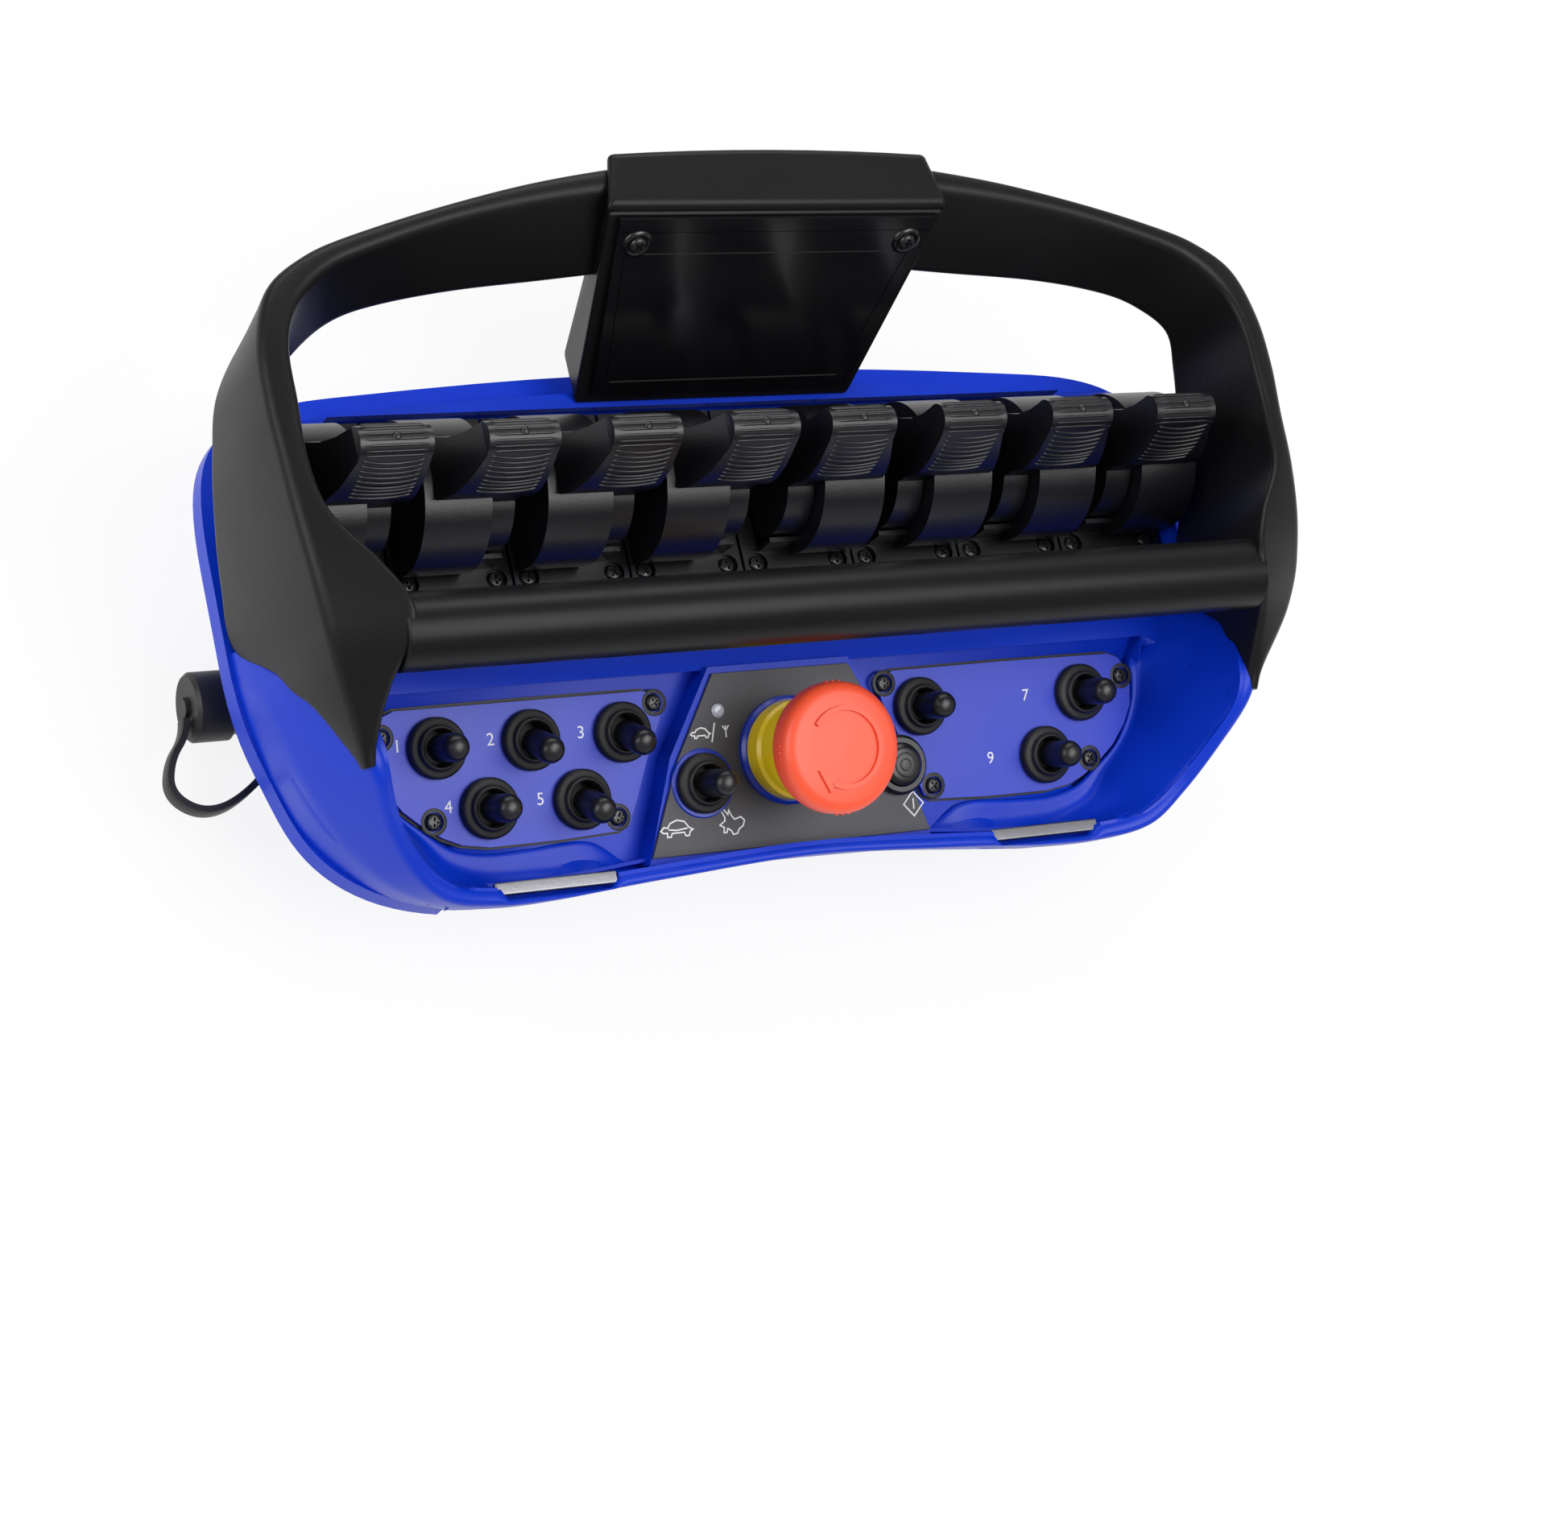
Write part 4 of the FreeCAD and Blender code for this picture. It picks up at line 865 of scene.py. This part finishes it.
stations = [(-TUBE_HALF, TUBE_END_RADIUS), (-TUBE_STRAIGHT, TUBE_RADIUS), (TUBE_STRAIGHT, TUBE_RADIUS),
            (TUBE_HALF, TUBE_END_RADIUS)]
tube_mesh = skinned([tube_ring(*station) for station in stations])
fix("grab_tube_skin", tube_mesh, "tube_black", "grab_tube", crisp=TUBE_CRISP)
print("tube", 2 * TUBE_HALF, "mm long")

# %% [markdown]
# The centre post and its hood are straight-sided mouldings that widen upwards, with a slightly bowed back.
# Each is a stack of level outlines with a bevel on its edges.

# %% Post and hood
# Each level: half width and y of the front, the same of the back, and height.
POST = [(48.5, 113.6, 48.5, 130.0, 11.0), (49.2, 114.6, 49.2, 131.0, 13.1), (58.0, 146.6, 54.2, 161.0, 76.4)]
HOOD = [(58.4, 147.2, 54.5, 164.5, 76.0), (58.8, 147.8, 54.8, 165.5, 78.4), (56.8, 150.0, 52.8, 164.0, 79.6)]
POST_EDGE = 1.0
HOOD_EDGE = 1.2
BOW = 1.6
BOW_STEPS = 8


def level_ring(front_half, y_front, back_half, y_back, z):
    ring = [(-front_half, y_front), (front_half, y_front)]
    for k in range(BOW_STEPS + 1):
        share = 1 - 2 * k / BOW_STEPS
        ring.append((back_half * share, y_back + BOW * (1 - share * share)))
    return [Vector((x, y, z)) + DATUM for x, y in ring]


for name, levels, edge in (("guard_post", POST, POST_EDGE), ("guard_hood", HOOD, HOOD_EDGE)):
    fix(name, skinned([level_ring(*row) for row in levels]), "guard_black", edge=edge)
print("post and hood done")

# %% [markdown]
# Screws, ribs, ridges and ticks repeat. One Geometry Nodes group sets copies of a small piece on points,
# turned to face the way that each point says, and makes them real. Every use ends as a plain mesh.

# %% Set-out node group
set_out_group = bpy.data.node_groups.new("set_out", "GeometryNodeTree")
tree = set_out_group
add_sockets(tree, "INPUT", Geometry="Geometry", Piece="Object", Finish="Material")
add_sockets(tree, "OUTPUT", Geometry="Geometry")
given = node_of(tree, "NodeGroupInput").outputs
leave = node_of(tree, "NodeGroupOutput")
facing_turn = node_of(tree, "FunctionNodeAxesToRotation", primary_axis="Z", secondary_axis="X")
for name, socket in (("facing", "Primary Axis"), ("along", "Secondary Axis")):
    stored = node_of(tree, "GeometryNodeInputNamedAttribute", data_type="FLOAT_VECTOR")
    stored.inputs["Name"].default_value = name
    link(tree, stored.outputs["Attribute"], facing_turn.inputs[socket])
piece_info = node_of(tree, "GeometryNodeObjectInfo")
copies = node_of(tree, "GeometryNodeInstanceOnPoints")
real = node_of(tree, "GeometryNodeRealizeInstances")
coated = node_of(tree, "GeometryNodeSetMaterial")
link(tree, given["Piece"], piece_info.inputs["Object"])
link(tree, given["Geometry"], copies.inputs["Points"])
link(tree, piece_info.outputs["Geometry"], copies.inputs["Instance"])
link(tree, facing_turn.outputs["Rotation"], copies.inputs["Rotation"])
link(tree, copies.outputs["Instances"], real.inputs["Geometry"])
link(tree, real.outputs["Geometry"], coated.inputs["Geometry"])
link(tree, given["Finish"], coated.inputs["Material"])
link(tree, coated.outputs["Geometry"], leave.inputs["Geometry"])
SOCKETS = {item.name: item.identifier for item in tree.interface.items_tree if item.in_out == "INPUT"}
print("set_out inputs", sorted(SOCKETS))

# %% Setting out repeats
COPY_CRISP = 40


def set_out(name, rows, model, paint, crisp=COPY_CRISP):
    """Copies of a model mesh on rows of (point, facing, along), as one plain mesh piece."""
    points = bpy.data.meshes.new(name + "_points")
    points.from_pydata([row[0] for row in rows], [], [])
    for attribute, column in (("facing", 1), ("along", 2)):
        stored = points.attributes.new(attribute, "FLOAT_VECTOR", "POINT")
        for item, row in zip(stored.data, rows):
            item.vector = row[column]
    pattern = put(name + "_model", model)
    holder = put(name + "_points", points)
    nodes = holder.modifiers.new("set_out", "NODES")
    nodes.node_group = set_out_group
    nodes[SOCKETS["Piece"]] = pattern
    nodes[SOCKETS["Finish"]] = FINISHES[paint]
    mesh = baked(holder)
    bpy.data.objects.remove(holder)
    bpy.data.objects.remove(pattern)
    for attribute in ("facing", "along"):
        if attribute in mesh.attributes:
            mesh.attributes.remove(mesh.attributes[attribute])
    return add_piece(name, mesh, paint, crisp)


print("set_out ready")

# %% [markdown]
# The screws are black pan heads with a cross recess. The head is turned on the lathe, the recess is a
# plus-shaped well, and a fill closes the flat ring between them, so no boolean is needed.

# %% Cross-recess screw head
HEAD_HEIGHT = 1.6
HEAD_PROFILE = [(2.2, 0), (2.7, 0.02), (2.7, 0.55), (2.5, 1.05), (2.15, 1.4), (1.85, HEAD_HEIGHT)]
CROSS_REACH = 1.55
CROSS_HALF = 0.36
CROSS_DEPTH = 0.9


def loop_edges(work, loop):
    return [work.edges.get((loop[i - 1], loop[i])) for i in range(len(loop))]


work = bmesh.new()
crown = lathe(work, HEAD_PROFILE)[-1]
a, b = CROSS_HALF, CROSS_REACH
quarter = [(a, b), (-a, b), (-a, a)]
half = quarter + [(-y, x) for x, y in quarter]
plus = half + [(-x, -y) for x, y in half]
mouth, well = ([work.verts.new((x * MM, y * MM, z * MM)) for x, y in plus]
               for z in (HEAD_HEIGHT, HEAD_HEIGHT - CROSS_DEPTH))
join_rings(work, [mouth, well])
work.faces.new(well)
bmesh.ops.triangle_fill(work, use_beauty=True, edges=loop_edges(work, crown) + loop_edges(work, mouth))
CROSS_HEAD = finished_mesh(work)
print("screw head faces", len(CROSS_HEAD.polygons))

# %% [markdown]
# Screws hold the lever bases, the switch plates, the post cover and the lower shell. Each head is turned by
# its own angle, because nobody stops a screwdriver at the same point twice.

# %% Screws
LEVER_PITCH = 39.66
LEVER_SCREW_X = 14.44
LEVER_SCREW_ROWS = (59.86, 105.68)
LEVER_SEAT = 4.3
PLATE_SCREWS = [(131.3, 14.1), (116.6, -11.9), (40.9, 18.0), (56.2, -15.8)]
PLATE_SEAT = -1.2
COVER_FOOT = (114.6, 13.1)
COVER_TURN = Matrix.Rotation(math.radians(63.21143), 3, "X")
COVER_OUT = COVER_TURN @ UP
COVER_SCREW = (46.7, 61.5)
COVER_TOP = 2.0
CASE_SCREWS = [(-128, 12), (128, 12), (-140, 54), (140, 54)]
CASE_SEAT = -42.0
SPIN_STEP = math.radians(37)


def module_middle(i):
    return (i - (LEVER_COUNT - 1) / 2) * LEVER_PITCH


def on_cover(x, rise, out):
    return (COVER_TURN @ Vector((x, rise, out)) + Vector((0, *COVER_FOOT)) + DATUM) * MM


def cover_matrix(out):
    return Matrix.Translation(on_cover(0, 0, out)) @ COVER_TURN.to_4x4()


def plate_points(rise):
    return [(on_panel(side * x, v, rise), PANEL_OUT) for side in (-1, 1) for x, v in PLATE_SCREWS]


def spun(rows):
    """Gives each screw its own turn about the way it faces."""
    result = []
    for i, (point, facing) in enumerate(rows):
        side = facing.orthogonal().normalized()
        result.append((point, facing, Matrix.Rotation(i * SPIN_STEP, 3, facing) @ side))
    return result


lever_points = [(place(module_middle(i) + x, y, LEVER_SEAT), UP) for i in range(LEVER_COUNT)
                for x in (-LEVER_SCREW_X, LEVER_SCREW_X) for y in LEVER_SCREW_ROWS]
cover_points = [(on_cover(side * COVER_SCREW[0], COVER_SCREW[1], COVER_TOP), COVER_OUT) for side in (-1, 1)]
case_points = [(place(x, y, CASE_SEAT), -UP) for x, y in CASE_SCREWS]
for node, points in (("lever_screws", lever_points), ("plate_screws", plate_points(PLATE_SEAT)),
                     ("cover_screws", cover_points), ("base_screws", case_points)):
    heads = set_out(node + "_heads", spun(points), CROSS_HEAD, "screw_black")
    settle(heads, "housing", "steel", node)
    print(node, len(points))

# %% [markdown]
# The film on the switch plates is cut away round the screws, and the cover has glossy dishes for its two.
# Both are thin turned rings, set out like the screws.

# %% Screw surrounds
FILM_RING = [(3.1, -0.3), (3.1, 0.05), (4.1, 0.05), (4.2, 0.0), (4.2, -0.3), (3.1, -0.3)]
DISH = [(2.95, -0.2), (3.1, 0.5), (3.8, 0.75), (4.6, 0.45), (4.9, 0.0), (4.9, -0.2), (2.95, -0.2)]
for name, points, profile, paint in (("film_cutouts", plate_points(0), FILM_RING, "gasket_black"),
                                     ("cover_dishes", cover_points, DISH, "cover_gloss")):
    settle(set_out(name, spun(points), turned(profile), paint), "housing", paint)
    print(name, len(points))

# %% [markdown]
# Each toggle wears a rubber boot: a broad flat ring that stays on the panel, and a thick round-tipped sleeve
# that rocks with the switch. The sleeve is turned on the lathe and set along the switch as it stands at
# rest, from its joint to the tip of its solid.

# %% Toggle boots
BOOT_DROP = 1.0
BOOT_RING = [(5.6, 0.0), (9.3, 0.0), (9.3, 2.0), (9.0, 2.7), (8.3, 3.1), (7.2, 3.15), (6.9, 3.4), (6.8, 4.3),
             (6.5, 4.75), (6.0, 4.85), (5.6, 4.4), (5.6, 0.0)]
SLEEVE_FOOT = [(0, 1.6), (4.0, 1.8), (4.2, 3.4), (4.35, 4.8), (4.35, 6.2), (4.3, 7.6)]
SLEEVE_TIP = [(4.3, 4.2), (4.15, 2.7), (3.5, 1.25), (2.1, 0.3), (0, 0)]
RING_STEPS = 48
RING_CRISP = 50
SLEEVE_STEPS = 40
STILL_PIECES = ("toggle_collars", "toggle_switches")
JOINT_ROWS = {row["child"]: row for row in frame["record"]["behaviour"]["joints"]}

ring_rows = []
for node in [node for node in NODES if node.startswith("toggle_") and node not in STILL_PIECES]:
    pivot = Vector(JOINT_ROWS[node]["pos_m"])
    tip = max((vertex.co for vertex in NODES[node].data.vertices), key=lambda co: (co - pivot).length)
    reach = (tip - pivot).length / MM
    profile = SLEEVE_FOOT + [(radius, reach - below) for radius, below in SLEEVE_TIP]
    stance = Matrix.Translation(pivot) @ (tip - pivot).to_track_quat("Z", "Y").to_matrix().to_4x4()
    sleeve = add_piece(node + "_sleeve", turned(profile, SLEEVE_STEPS, stance), "boot_black", SMOOTH)
    settle(sleeve, BODY_OF[node], "boot_black", node)
    ring_rows.append((pivot - PANEL_OUT * BOOT_DROP * MM, PANEL_OUT, ACROSS))
boot_rings = set_out("boot_rings", ring_rows, turned(BOOT_RING, RING_STEPS), "gasket_black", RING_CRISP)
settle(boot_rings, "housing", "boot_black", "toggle_collars")
print("boots", len(ring_rows))

# %% [markdown]
# A thumb pushes the paddles, so their faces carry curved ribs and their bars carry fine ridges and a pip.
# Each set rides on its own lever and turns with it. The left four levers are mirror images of the right
# four, so only the side of the shift changes.

# %% Half-round bars
END_FROM, END_TAPER = 0.97, 0.35
HALF_STEPS = 6


def half_round(half, sag, radius, spans):
    """A half-round bar along X that may sag in the middle, lying on the XY plane."""
    rings = []
    for i in range(spans + 1):
        share = 2 * i / spans - 1
        thick = radius if abs(share) < END_FROM else radius * END_TAPER
        base = Vector((share * half, sag * share * share - sag, 0))
        angles = [math.pi * k / HALF_STEPS for k in range(HALF_STEPS + 1)]
        rings.append([base + Vector((0, math.cos(a), math.sin(a))) * thick for a in angles])
    return skinned(rings)


print("half-round bars of", HALF_STEPS, "facets")

# %% Lever ribs and ridges
LEVER_PIVOT = (83.0, 17.0)
FACE = [(-11.0, 31.0), (-9.8, 38.0), (-7.4, 44.0), (-5.5, 48.5)]
RIB_COUNT = 9
RIB_HALF, RIB_SAG, RIB_RADIUS, RIB_SPANS = 9.5, 1.5, 0.5, 24
RIB_SHIFT = 2.6
RIB_START = 1.4
RIB_MARGIN = 2.6
LEVER_BAR_AT = (-0.5, 47.0)
LEVER_BAR_RADIUS = 5.0
LEVER_BAR_SHIFT = 3.0
RIDGE_HALF, RIDGE_RADIUS, RIDGE_SPANS = 9.6, 0.42, 12
RIDGE_ANGLES = range(-20, 201, 20)
PIP_PROFILE = [(1.3, -0.3), (1.3, 0.35), (1.0, 0.65), (0.5, 0.8), (0, 0.85)]
PIP_STEPS = 20


def along_face(distance):
    """A point of the paddle's front face in side view and the way it faces there."""
    for (y0, z0), (y1, z1) in zip(FACE, FACE[1:]):
        length = math.hypot(y1 - y0, z1 - z0)
        if distance <= length or (y1, z1) == FACE[-1]:
            share = distance / length
            facing = Vector((0, -(z1 - z0), y1 - y0)).normalized()
            return y0 + (y1 - y0) * share, z0 + (z1 - z0) * share, facing
        distance -= length


def on_lever(x, y, z):
    return place(x, LEVER_PIVOT[0] + y, LEVER_PIVOT[1] + z)


face_length = sum(math.dist(one, two) for one, two in zip(FACE, FACE[1:]))
rib_gap = (face_length - RIB_MARGIN) / (RIB_COUNT - 1)
RIB = half_round(RIB_HALF, RIB_SAG, RIB_RADIUS, RIB_SPANS)
RIDGE = half_round(RIDGE_HALF, 0.0, RIDGE_RADIUS, RIDGE_SPANS)
PIP = turned(PIP_PROFILE, PIP_STEPS)
for i in range(LEVER_COUNT):
    side = 1 if i < LEVER_COUNT / 2 else -1
    body = f"lever_{i + 1}"
    rib_rows = []
    for k in range(RIB_COUNT):
        y, z, facing = along_face(RIB_START + rib_gap * k)
        rib_rows.append((on_lever(module_middle(i) + RIB_SHIFT * side, y, z), facing, ACROSS))
    bar_middle = on_lever(module_middle(i) + LEVER_BAR_SHIFT * side, *LEVER_BAR_AT)
    ridge_rows = []
    for angle in RIDGE_ANGLES:
        facing = Vector((0, -math.cos(math.radians(angle)), math.sin(math.radians(angle))))
        ridge_rows.append((bar_middle + facing * LEVER_BAR_RADIUS * MM, facing, ACROSS))
    pip_rows = [(bar_middle + UP * LEVER_BAR_RADIUS * MM, UP, ACROSS)]
    for name, rows, model in (("ribs", rib_rows, RIB), ("ridges", ridge_rows, RIDGE), ("pip", pip_rows, PIP)):
        settle(set_out(f"{body}_{name}", rows, model, "lever_grey"), body, "lever_grey")
print("ribs", RIB_COUNT * LEVER_COUNT)

# %% [markdown]
# The stop button shows which way it is released: a raised arrow runs round its face. Small ticks stand on
# its rim. Both ride on the head, which turns on the stem, so they show how far it is turned.

# %% Stop arrow and ticks
HEAD_TOP = 44.0
HEAD_RIM = 20.0
ARROW_RADIUS = 11.9
ARROW_START, ARROW_END = 142, -118
ARROW_STEPS = 60
ARROW_WIDTH = 1.5
ARROW_RAISE = 0.8
ARROW_SINK = 0.15
ARROW_CRISP = 30
BARB_HALF = 3.0
BARB_TURN = 30
BARB_LAP = 2
TICK_HALF, TICK_RADIUS, TICK_SPANS = 0.9, 0.45, 6
TICK_DROP = 5.4
TICK_ANGLES = [quarter + step for quarter in (0, 90, 180, 270) for step in (-6, 0, 6)]


def round_point(radius, degrees):
    return radius * math.cos(math.radians(degrees)), radius * math.sin(math.radians(degrees))


work = bmesh.new()
arc = [ARROW_START + (ARROW_END - ARROW_START) * k / ARROW_STEPS for k in range(ARROW_STEPS + 1)]
stroke(work, [round_point(ARROW_RADIUS, degrees) for degrees in arc], ARROW_WIDTH, ARROW_RAISE)
barb = [round_point(ARROW_RADIUS - BARB_HALF, ARROW_END + BARB_LAP),
        round_point(ARROW_RADIUS + BARB_HALF, ARROW_END + BARB_LAP),
        round_point(ARROW_RADIUS, ARROW_END - BARB_TURN)]
face = work.faces.new([work.verts.new((x * MM, y * MM, ARROW_RAISE * MM)) for x, y in barb])
for item in bmesh.ops.extrude_face_region(work, geom=[face])["geom"]:
    if isinstance(item, bmesh.types.BMVert):
        item.co.z = 0
arrow_row = (on_panel(0, 0, HEAD_TOP - ARROW_SINK), PANEL_OUT, ACROSS)
arrow = set_out("stop_arrow", [arrow_row], finished_mesh(work), "stop_red", ARROW_CRISP)
settle(arrow, "stop_head", "stop_red")
tick_rows = []
for degrees in TICK_ANGLES:
    facing = PANEL_TURN @ Vector((*round_point(1, degrees), 0))
    tick_rows.append((on_panel(*round_point(HEAD_RIM, degrees), HEAD_TOP - TICK_DROP), facing, PANEL_OUT))
ticks = set_out("stop_ticks", tick_rows, half_round(TICK_HALF, 0.0, TICK_RADIUS, TICK_SPANS), "stop_red")
settle(ticks, "stop_head", "stop_red")
print("ticks", len(tick_rows))

# %% [markdown]
# White line drawings on the centre panel tell slow from fast and mark the start button. They are strokes
# on the panel; the switch plates carry only numbers, made from text. All of it is print, a few hundredths
# of a millimetre thick, so it is real geometry that needs no picture.

# %% Line drawings
TORTOISE = [(-5.6, -0.2), (-4.4, 0.9), (-3.2, 0.6), (-2.2, 2.0), (0.2, 2.8), (2.6, 2.2), (4.2, 0.2),
            (5.4, -0.4), (4.4, -1.0), (4.0, -2.2), (2.8, -2.2), (2.4, -1.1), (-1.8, -1.1), (-2.2, -2.2),
            (-3.4, -2.2), (-3.4, -0.9), (-4.6, -0.9)]
SHELL = [(-3.0, 0.1), (-0.2, -0.3), (3.6, 0.1)]
HARE = [(-4.2, -0.4), (-2.4, 0.8), (-2.4, 2.0), (-3.6, 4.2), (-2.6, 4.4), (-1.2, 2.6), (-0.8, 4.0),
        (0.0, 2.2), (1.0, 1.0), (3.2, 1.6), (4.4, 0.4), (3.8, -1.2), (2.4, -2.0), (1.6, -3.4), (0.2, -3.6),
        (-0.4, -2.4), (-1.6, -1.6), (-2.0, -2.8), (-3.0, -2.8), (-2.8, -1.2)]
DIAMOND = [(0, -3.9), (3.6, 0), (0, 3.9), (-3.6, 0)]
START_BAR = [(0, -1.7), (0, 1.7)]
SLASH = [(-0.6, -3.4), (1.0, 3.4)]
MAST = [(4.2, -2.6), (4.2, 2.6)]
FORK = [(2.6, 2.6), (4.2, 0.4), (5.8, 2.6)]


def scaled(points, share, shift):
    return [(x * share + shift, y * share) for x, y in points]


# Each drawing: its place on the panel, then its lines and whether each is closed.
DRAWINGS = [
    ((-40.4, -21.0), [(TORTOISE, True), (SHELL, False)]),
    ((-21.4, -20.7), [(HARE, True)]),
    ((43.7, -20.5), [(DIAMOND, True), (START_BAR, False)]),
    ((-26.1, 7.4), [(scaled(TORTOISE, 0.62, -3.6), True), (scaled(SLASH, 0.85, 0.6), False),
                    (scaled(MAST, 0.7, 2.2), False), (scaled(FORK, 0.7, 2.2), False)]),
]
print("drawings", len(DRAWINGS))

# %% Print on the panels
PRINT_THICK = 0.06
PRINT_LINE = 0.42
CENTRE_RISE = 7.5
NUMBERS = [("1", -126.3, 11.2), ("2", -96.3, 10.9), ("3", -66.4, 10.7), ("4", -111.6, -8.0),
           ("5", -81.6, -8.2), ("7", 93.5, 10.3), ("9", 78.4, -8.9)]
NUMBER_SIZE = 5.4

printed = bmesh.new()
for at, lines in DRAWINGS:
    work = bmesh.new()
    for points, closed in lines:
        stroke(work, points, PRINT_LINE, PRINT_THICK, closed)
    work.transform(panel_matrix(*at, CENTRE_RISE))
    printed.from_mesh(finished_mesh(work))
for figure, x, v in NUMBERS:
    letters = bpy.data.curves.new("number_" + figure, "FONT")
    letters.body = figure
    letters.size = NUMBER_SIZE * MM
    letters.extrude = PRINT_THICK / 2 * MM
    letters.align_x = "CENTER"
    letters.align_y = "CENTER"
    number = meshed("number_" + figure, letters)
    number.transform(panel_matrix(x, v, PRINT_THICK / 2))
    printed.from_mesh(number)
print_mesh = bpy.data.meshes.new("panel_print")
printed.to_mesh(print_mesh)
printed.free()
settle(add_piece("panel_print", print_mesh, "print_white"), "housing", "panel_grey")
print("numbers", len(NUMBERS))

# %% [markdown]
# A few rings finish the panel: a blue seat round the middle toggle and two raised rings on the start
# button. They are turned on the lathe and set on the sloped panel.

# %% Rings on the panel
TOGGLE_SEAT = (-30.3, -7.8)
SEAT_PROFILE = [(9.0, -0.3), (9.0, 0.5), (10.3, 0.5), (10.7, 0.1), (10.7, -0.3), (9.0, -0.3)]
SEAT_STEPS = 64
SEAT_CRISP = 35
START = (39.2, -7.9)
START_TOP = 4.92
START_RINGS = (1.8, 3.6)
START_PROFILE = [(-0.35, -0.25), (-0.25, 0.12), (0, 0.25), (0.25, 0.12), (0.35, -0.25), (-0.35, -0.25)]

seat_mesh = turned(SEAT_PROFILE, SEAT_STEPS, panel_matrix(*TOGGLE_SEAT, CENTRE_RISE))
fix("toggle_seat", seat_mesh, "stop_blue", crisp=SEAT_CRISP)
work = bmesh.new()
for radius in START_RINGS:
    lathe(work, [(radius + out, height) for out, height in START_PROFILE], RING_STEPS)
work.transform(panel_matrix(*START, CENTRE_RISE + START_TOP))
start_rings = add_piece("start_rings", finished_mesh(work), "button_black", SMOOTH)
settle(start_rings, "start_button", "button_black")
print("rings", 1 + len(START_RINGS))

# %% [markdown]
# The glossy cover on the centre post has a raised line round its face, and a strip that runs on up to the
# hood. The line is a closed stroke and the strip a prism, both drawn flat and then tilted with the cover.

# %% Cover line and head strip
COVER_LINE = [(-41, 7.5), (41, 7.5), (49.2, 57.0), (-49.2, 57.0)]
COVER_LINE_WIDTH = 1.1
COVER_LINE_RAISE = 0.3
COVER_LINE_SINK = 0.02
COVER_HEAD = [(-53.9, 65.5), (53.9, 65.5), (54.7, 70.6), (-54.7, 70.6)]

work = bmesh.new()
stroke(work, COVER_LINE, COVER_LINE_WIDTH, COVER_LINE_RAISE, True)
work.transform(cover_matrix(COVER_TOP - COVER_LINE_SINK))
fix("cover_line", finished_mesh(work), "cover_gloss")
fix("cover_head", prism(COVER_HEAD, 0, COVER_TOP, cover_matrix(0)), "cover_gloss")
print("cover line and head strip done")

# %% [markdown]
# The dust cap hangs on a flat rubber strap. It is a limp cord of its real length: a smooth curve through
# the route of its solid, with a flat section swept along it. A curve with a bevel could make it too, but
# rings of points keep the flat section upright all along.

# %% Cap strap
STRAP_ROUTE = [(-177.4, 34.2), (-178.0, 29.4), (-184.2, 22.0), (-186.5, 11.5), (-177.0, 4.5), (-164.6, 8.0),
               (-155.8, 15.6)]
STRAP_HEIGHT = -30.0
STRAP_WIDTH = 6.0
STRAP_THICK = 2.2
STRAP_CRISP = 40
# The flat section, in shares of the thickness and the width.
STRAP_SECTION = [(0.5, -0.44), (0.5, 0.44), (0.4, 0.5), (-0.4, 0.5), (-0.5, 0.44), (-0.5, -0.44),
                 (-0.4, -0.5), (0.4, -0.5)]
CURVE_ORDER = 3
CURVE_STEPS = 12

route = [place(x, y, STRAP_HEIGHT) for x, y in STRAP_ROUTE]
curve = bpy.data.curves.new("strap_line", "CURVE")
curve.dimensions = "3D"
spline = curve.splines.new("NURBS")
spline.points.add(len(route) - 1)
for knot, point in zip(spline.points, route):
    knot.co = (*point, 1)
spline.order_u = CURVE_ORDER
spline.use_endpoint_u = True
spline.resolution_u = CURVE_STEPS
line = [vertex.co.copy() for vertex in meshed("strap_line", curve).vertices]
rings = []
for i, point in enumerate(line):
    ahead = line[min(i + 1, len(line) - 1)] - line[max(i - 1, 0)]
    across = ahead.normalized().cross(UP)
    rings.append([point / MM + across * a * STRAP_THICK + UP * b * STRAP_WIDTH for a, b in STRAP_SECTION])
strap = fix("cap_strap_band", skinned(rings), "gasket_black", "cap_strap", crisp=STRAP_CRISP)

# %% Size note and finish
low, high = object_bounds()
print("visual box", [round(c, 4) for c in (*low, *high)])
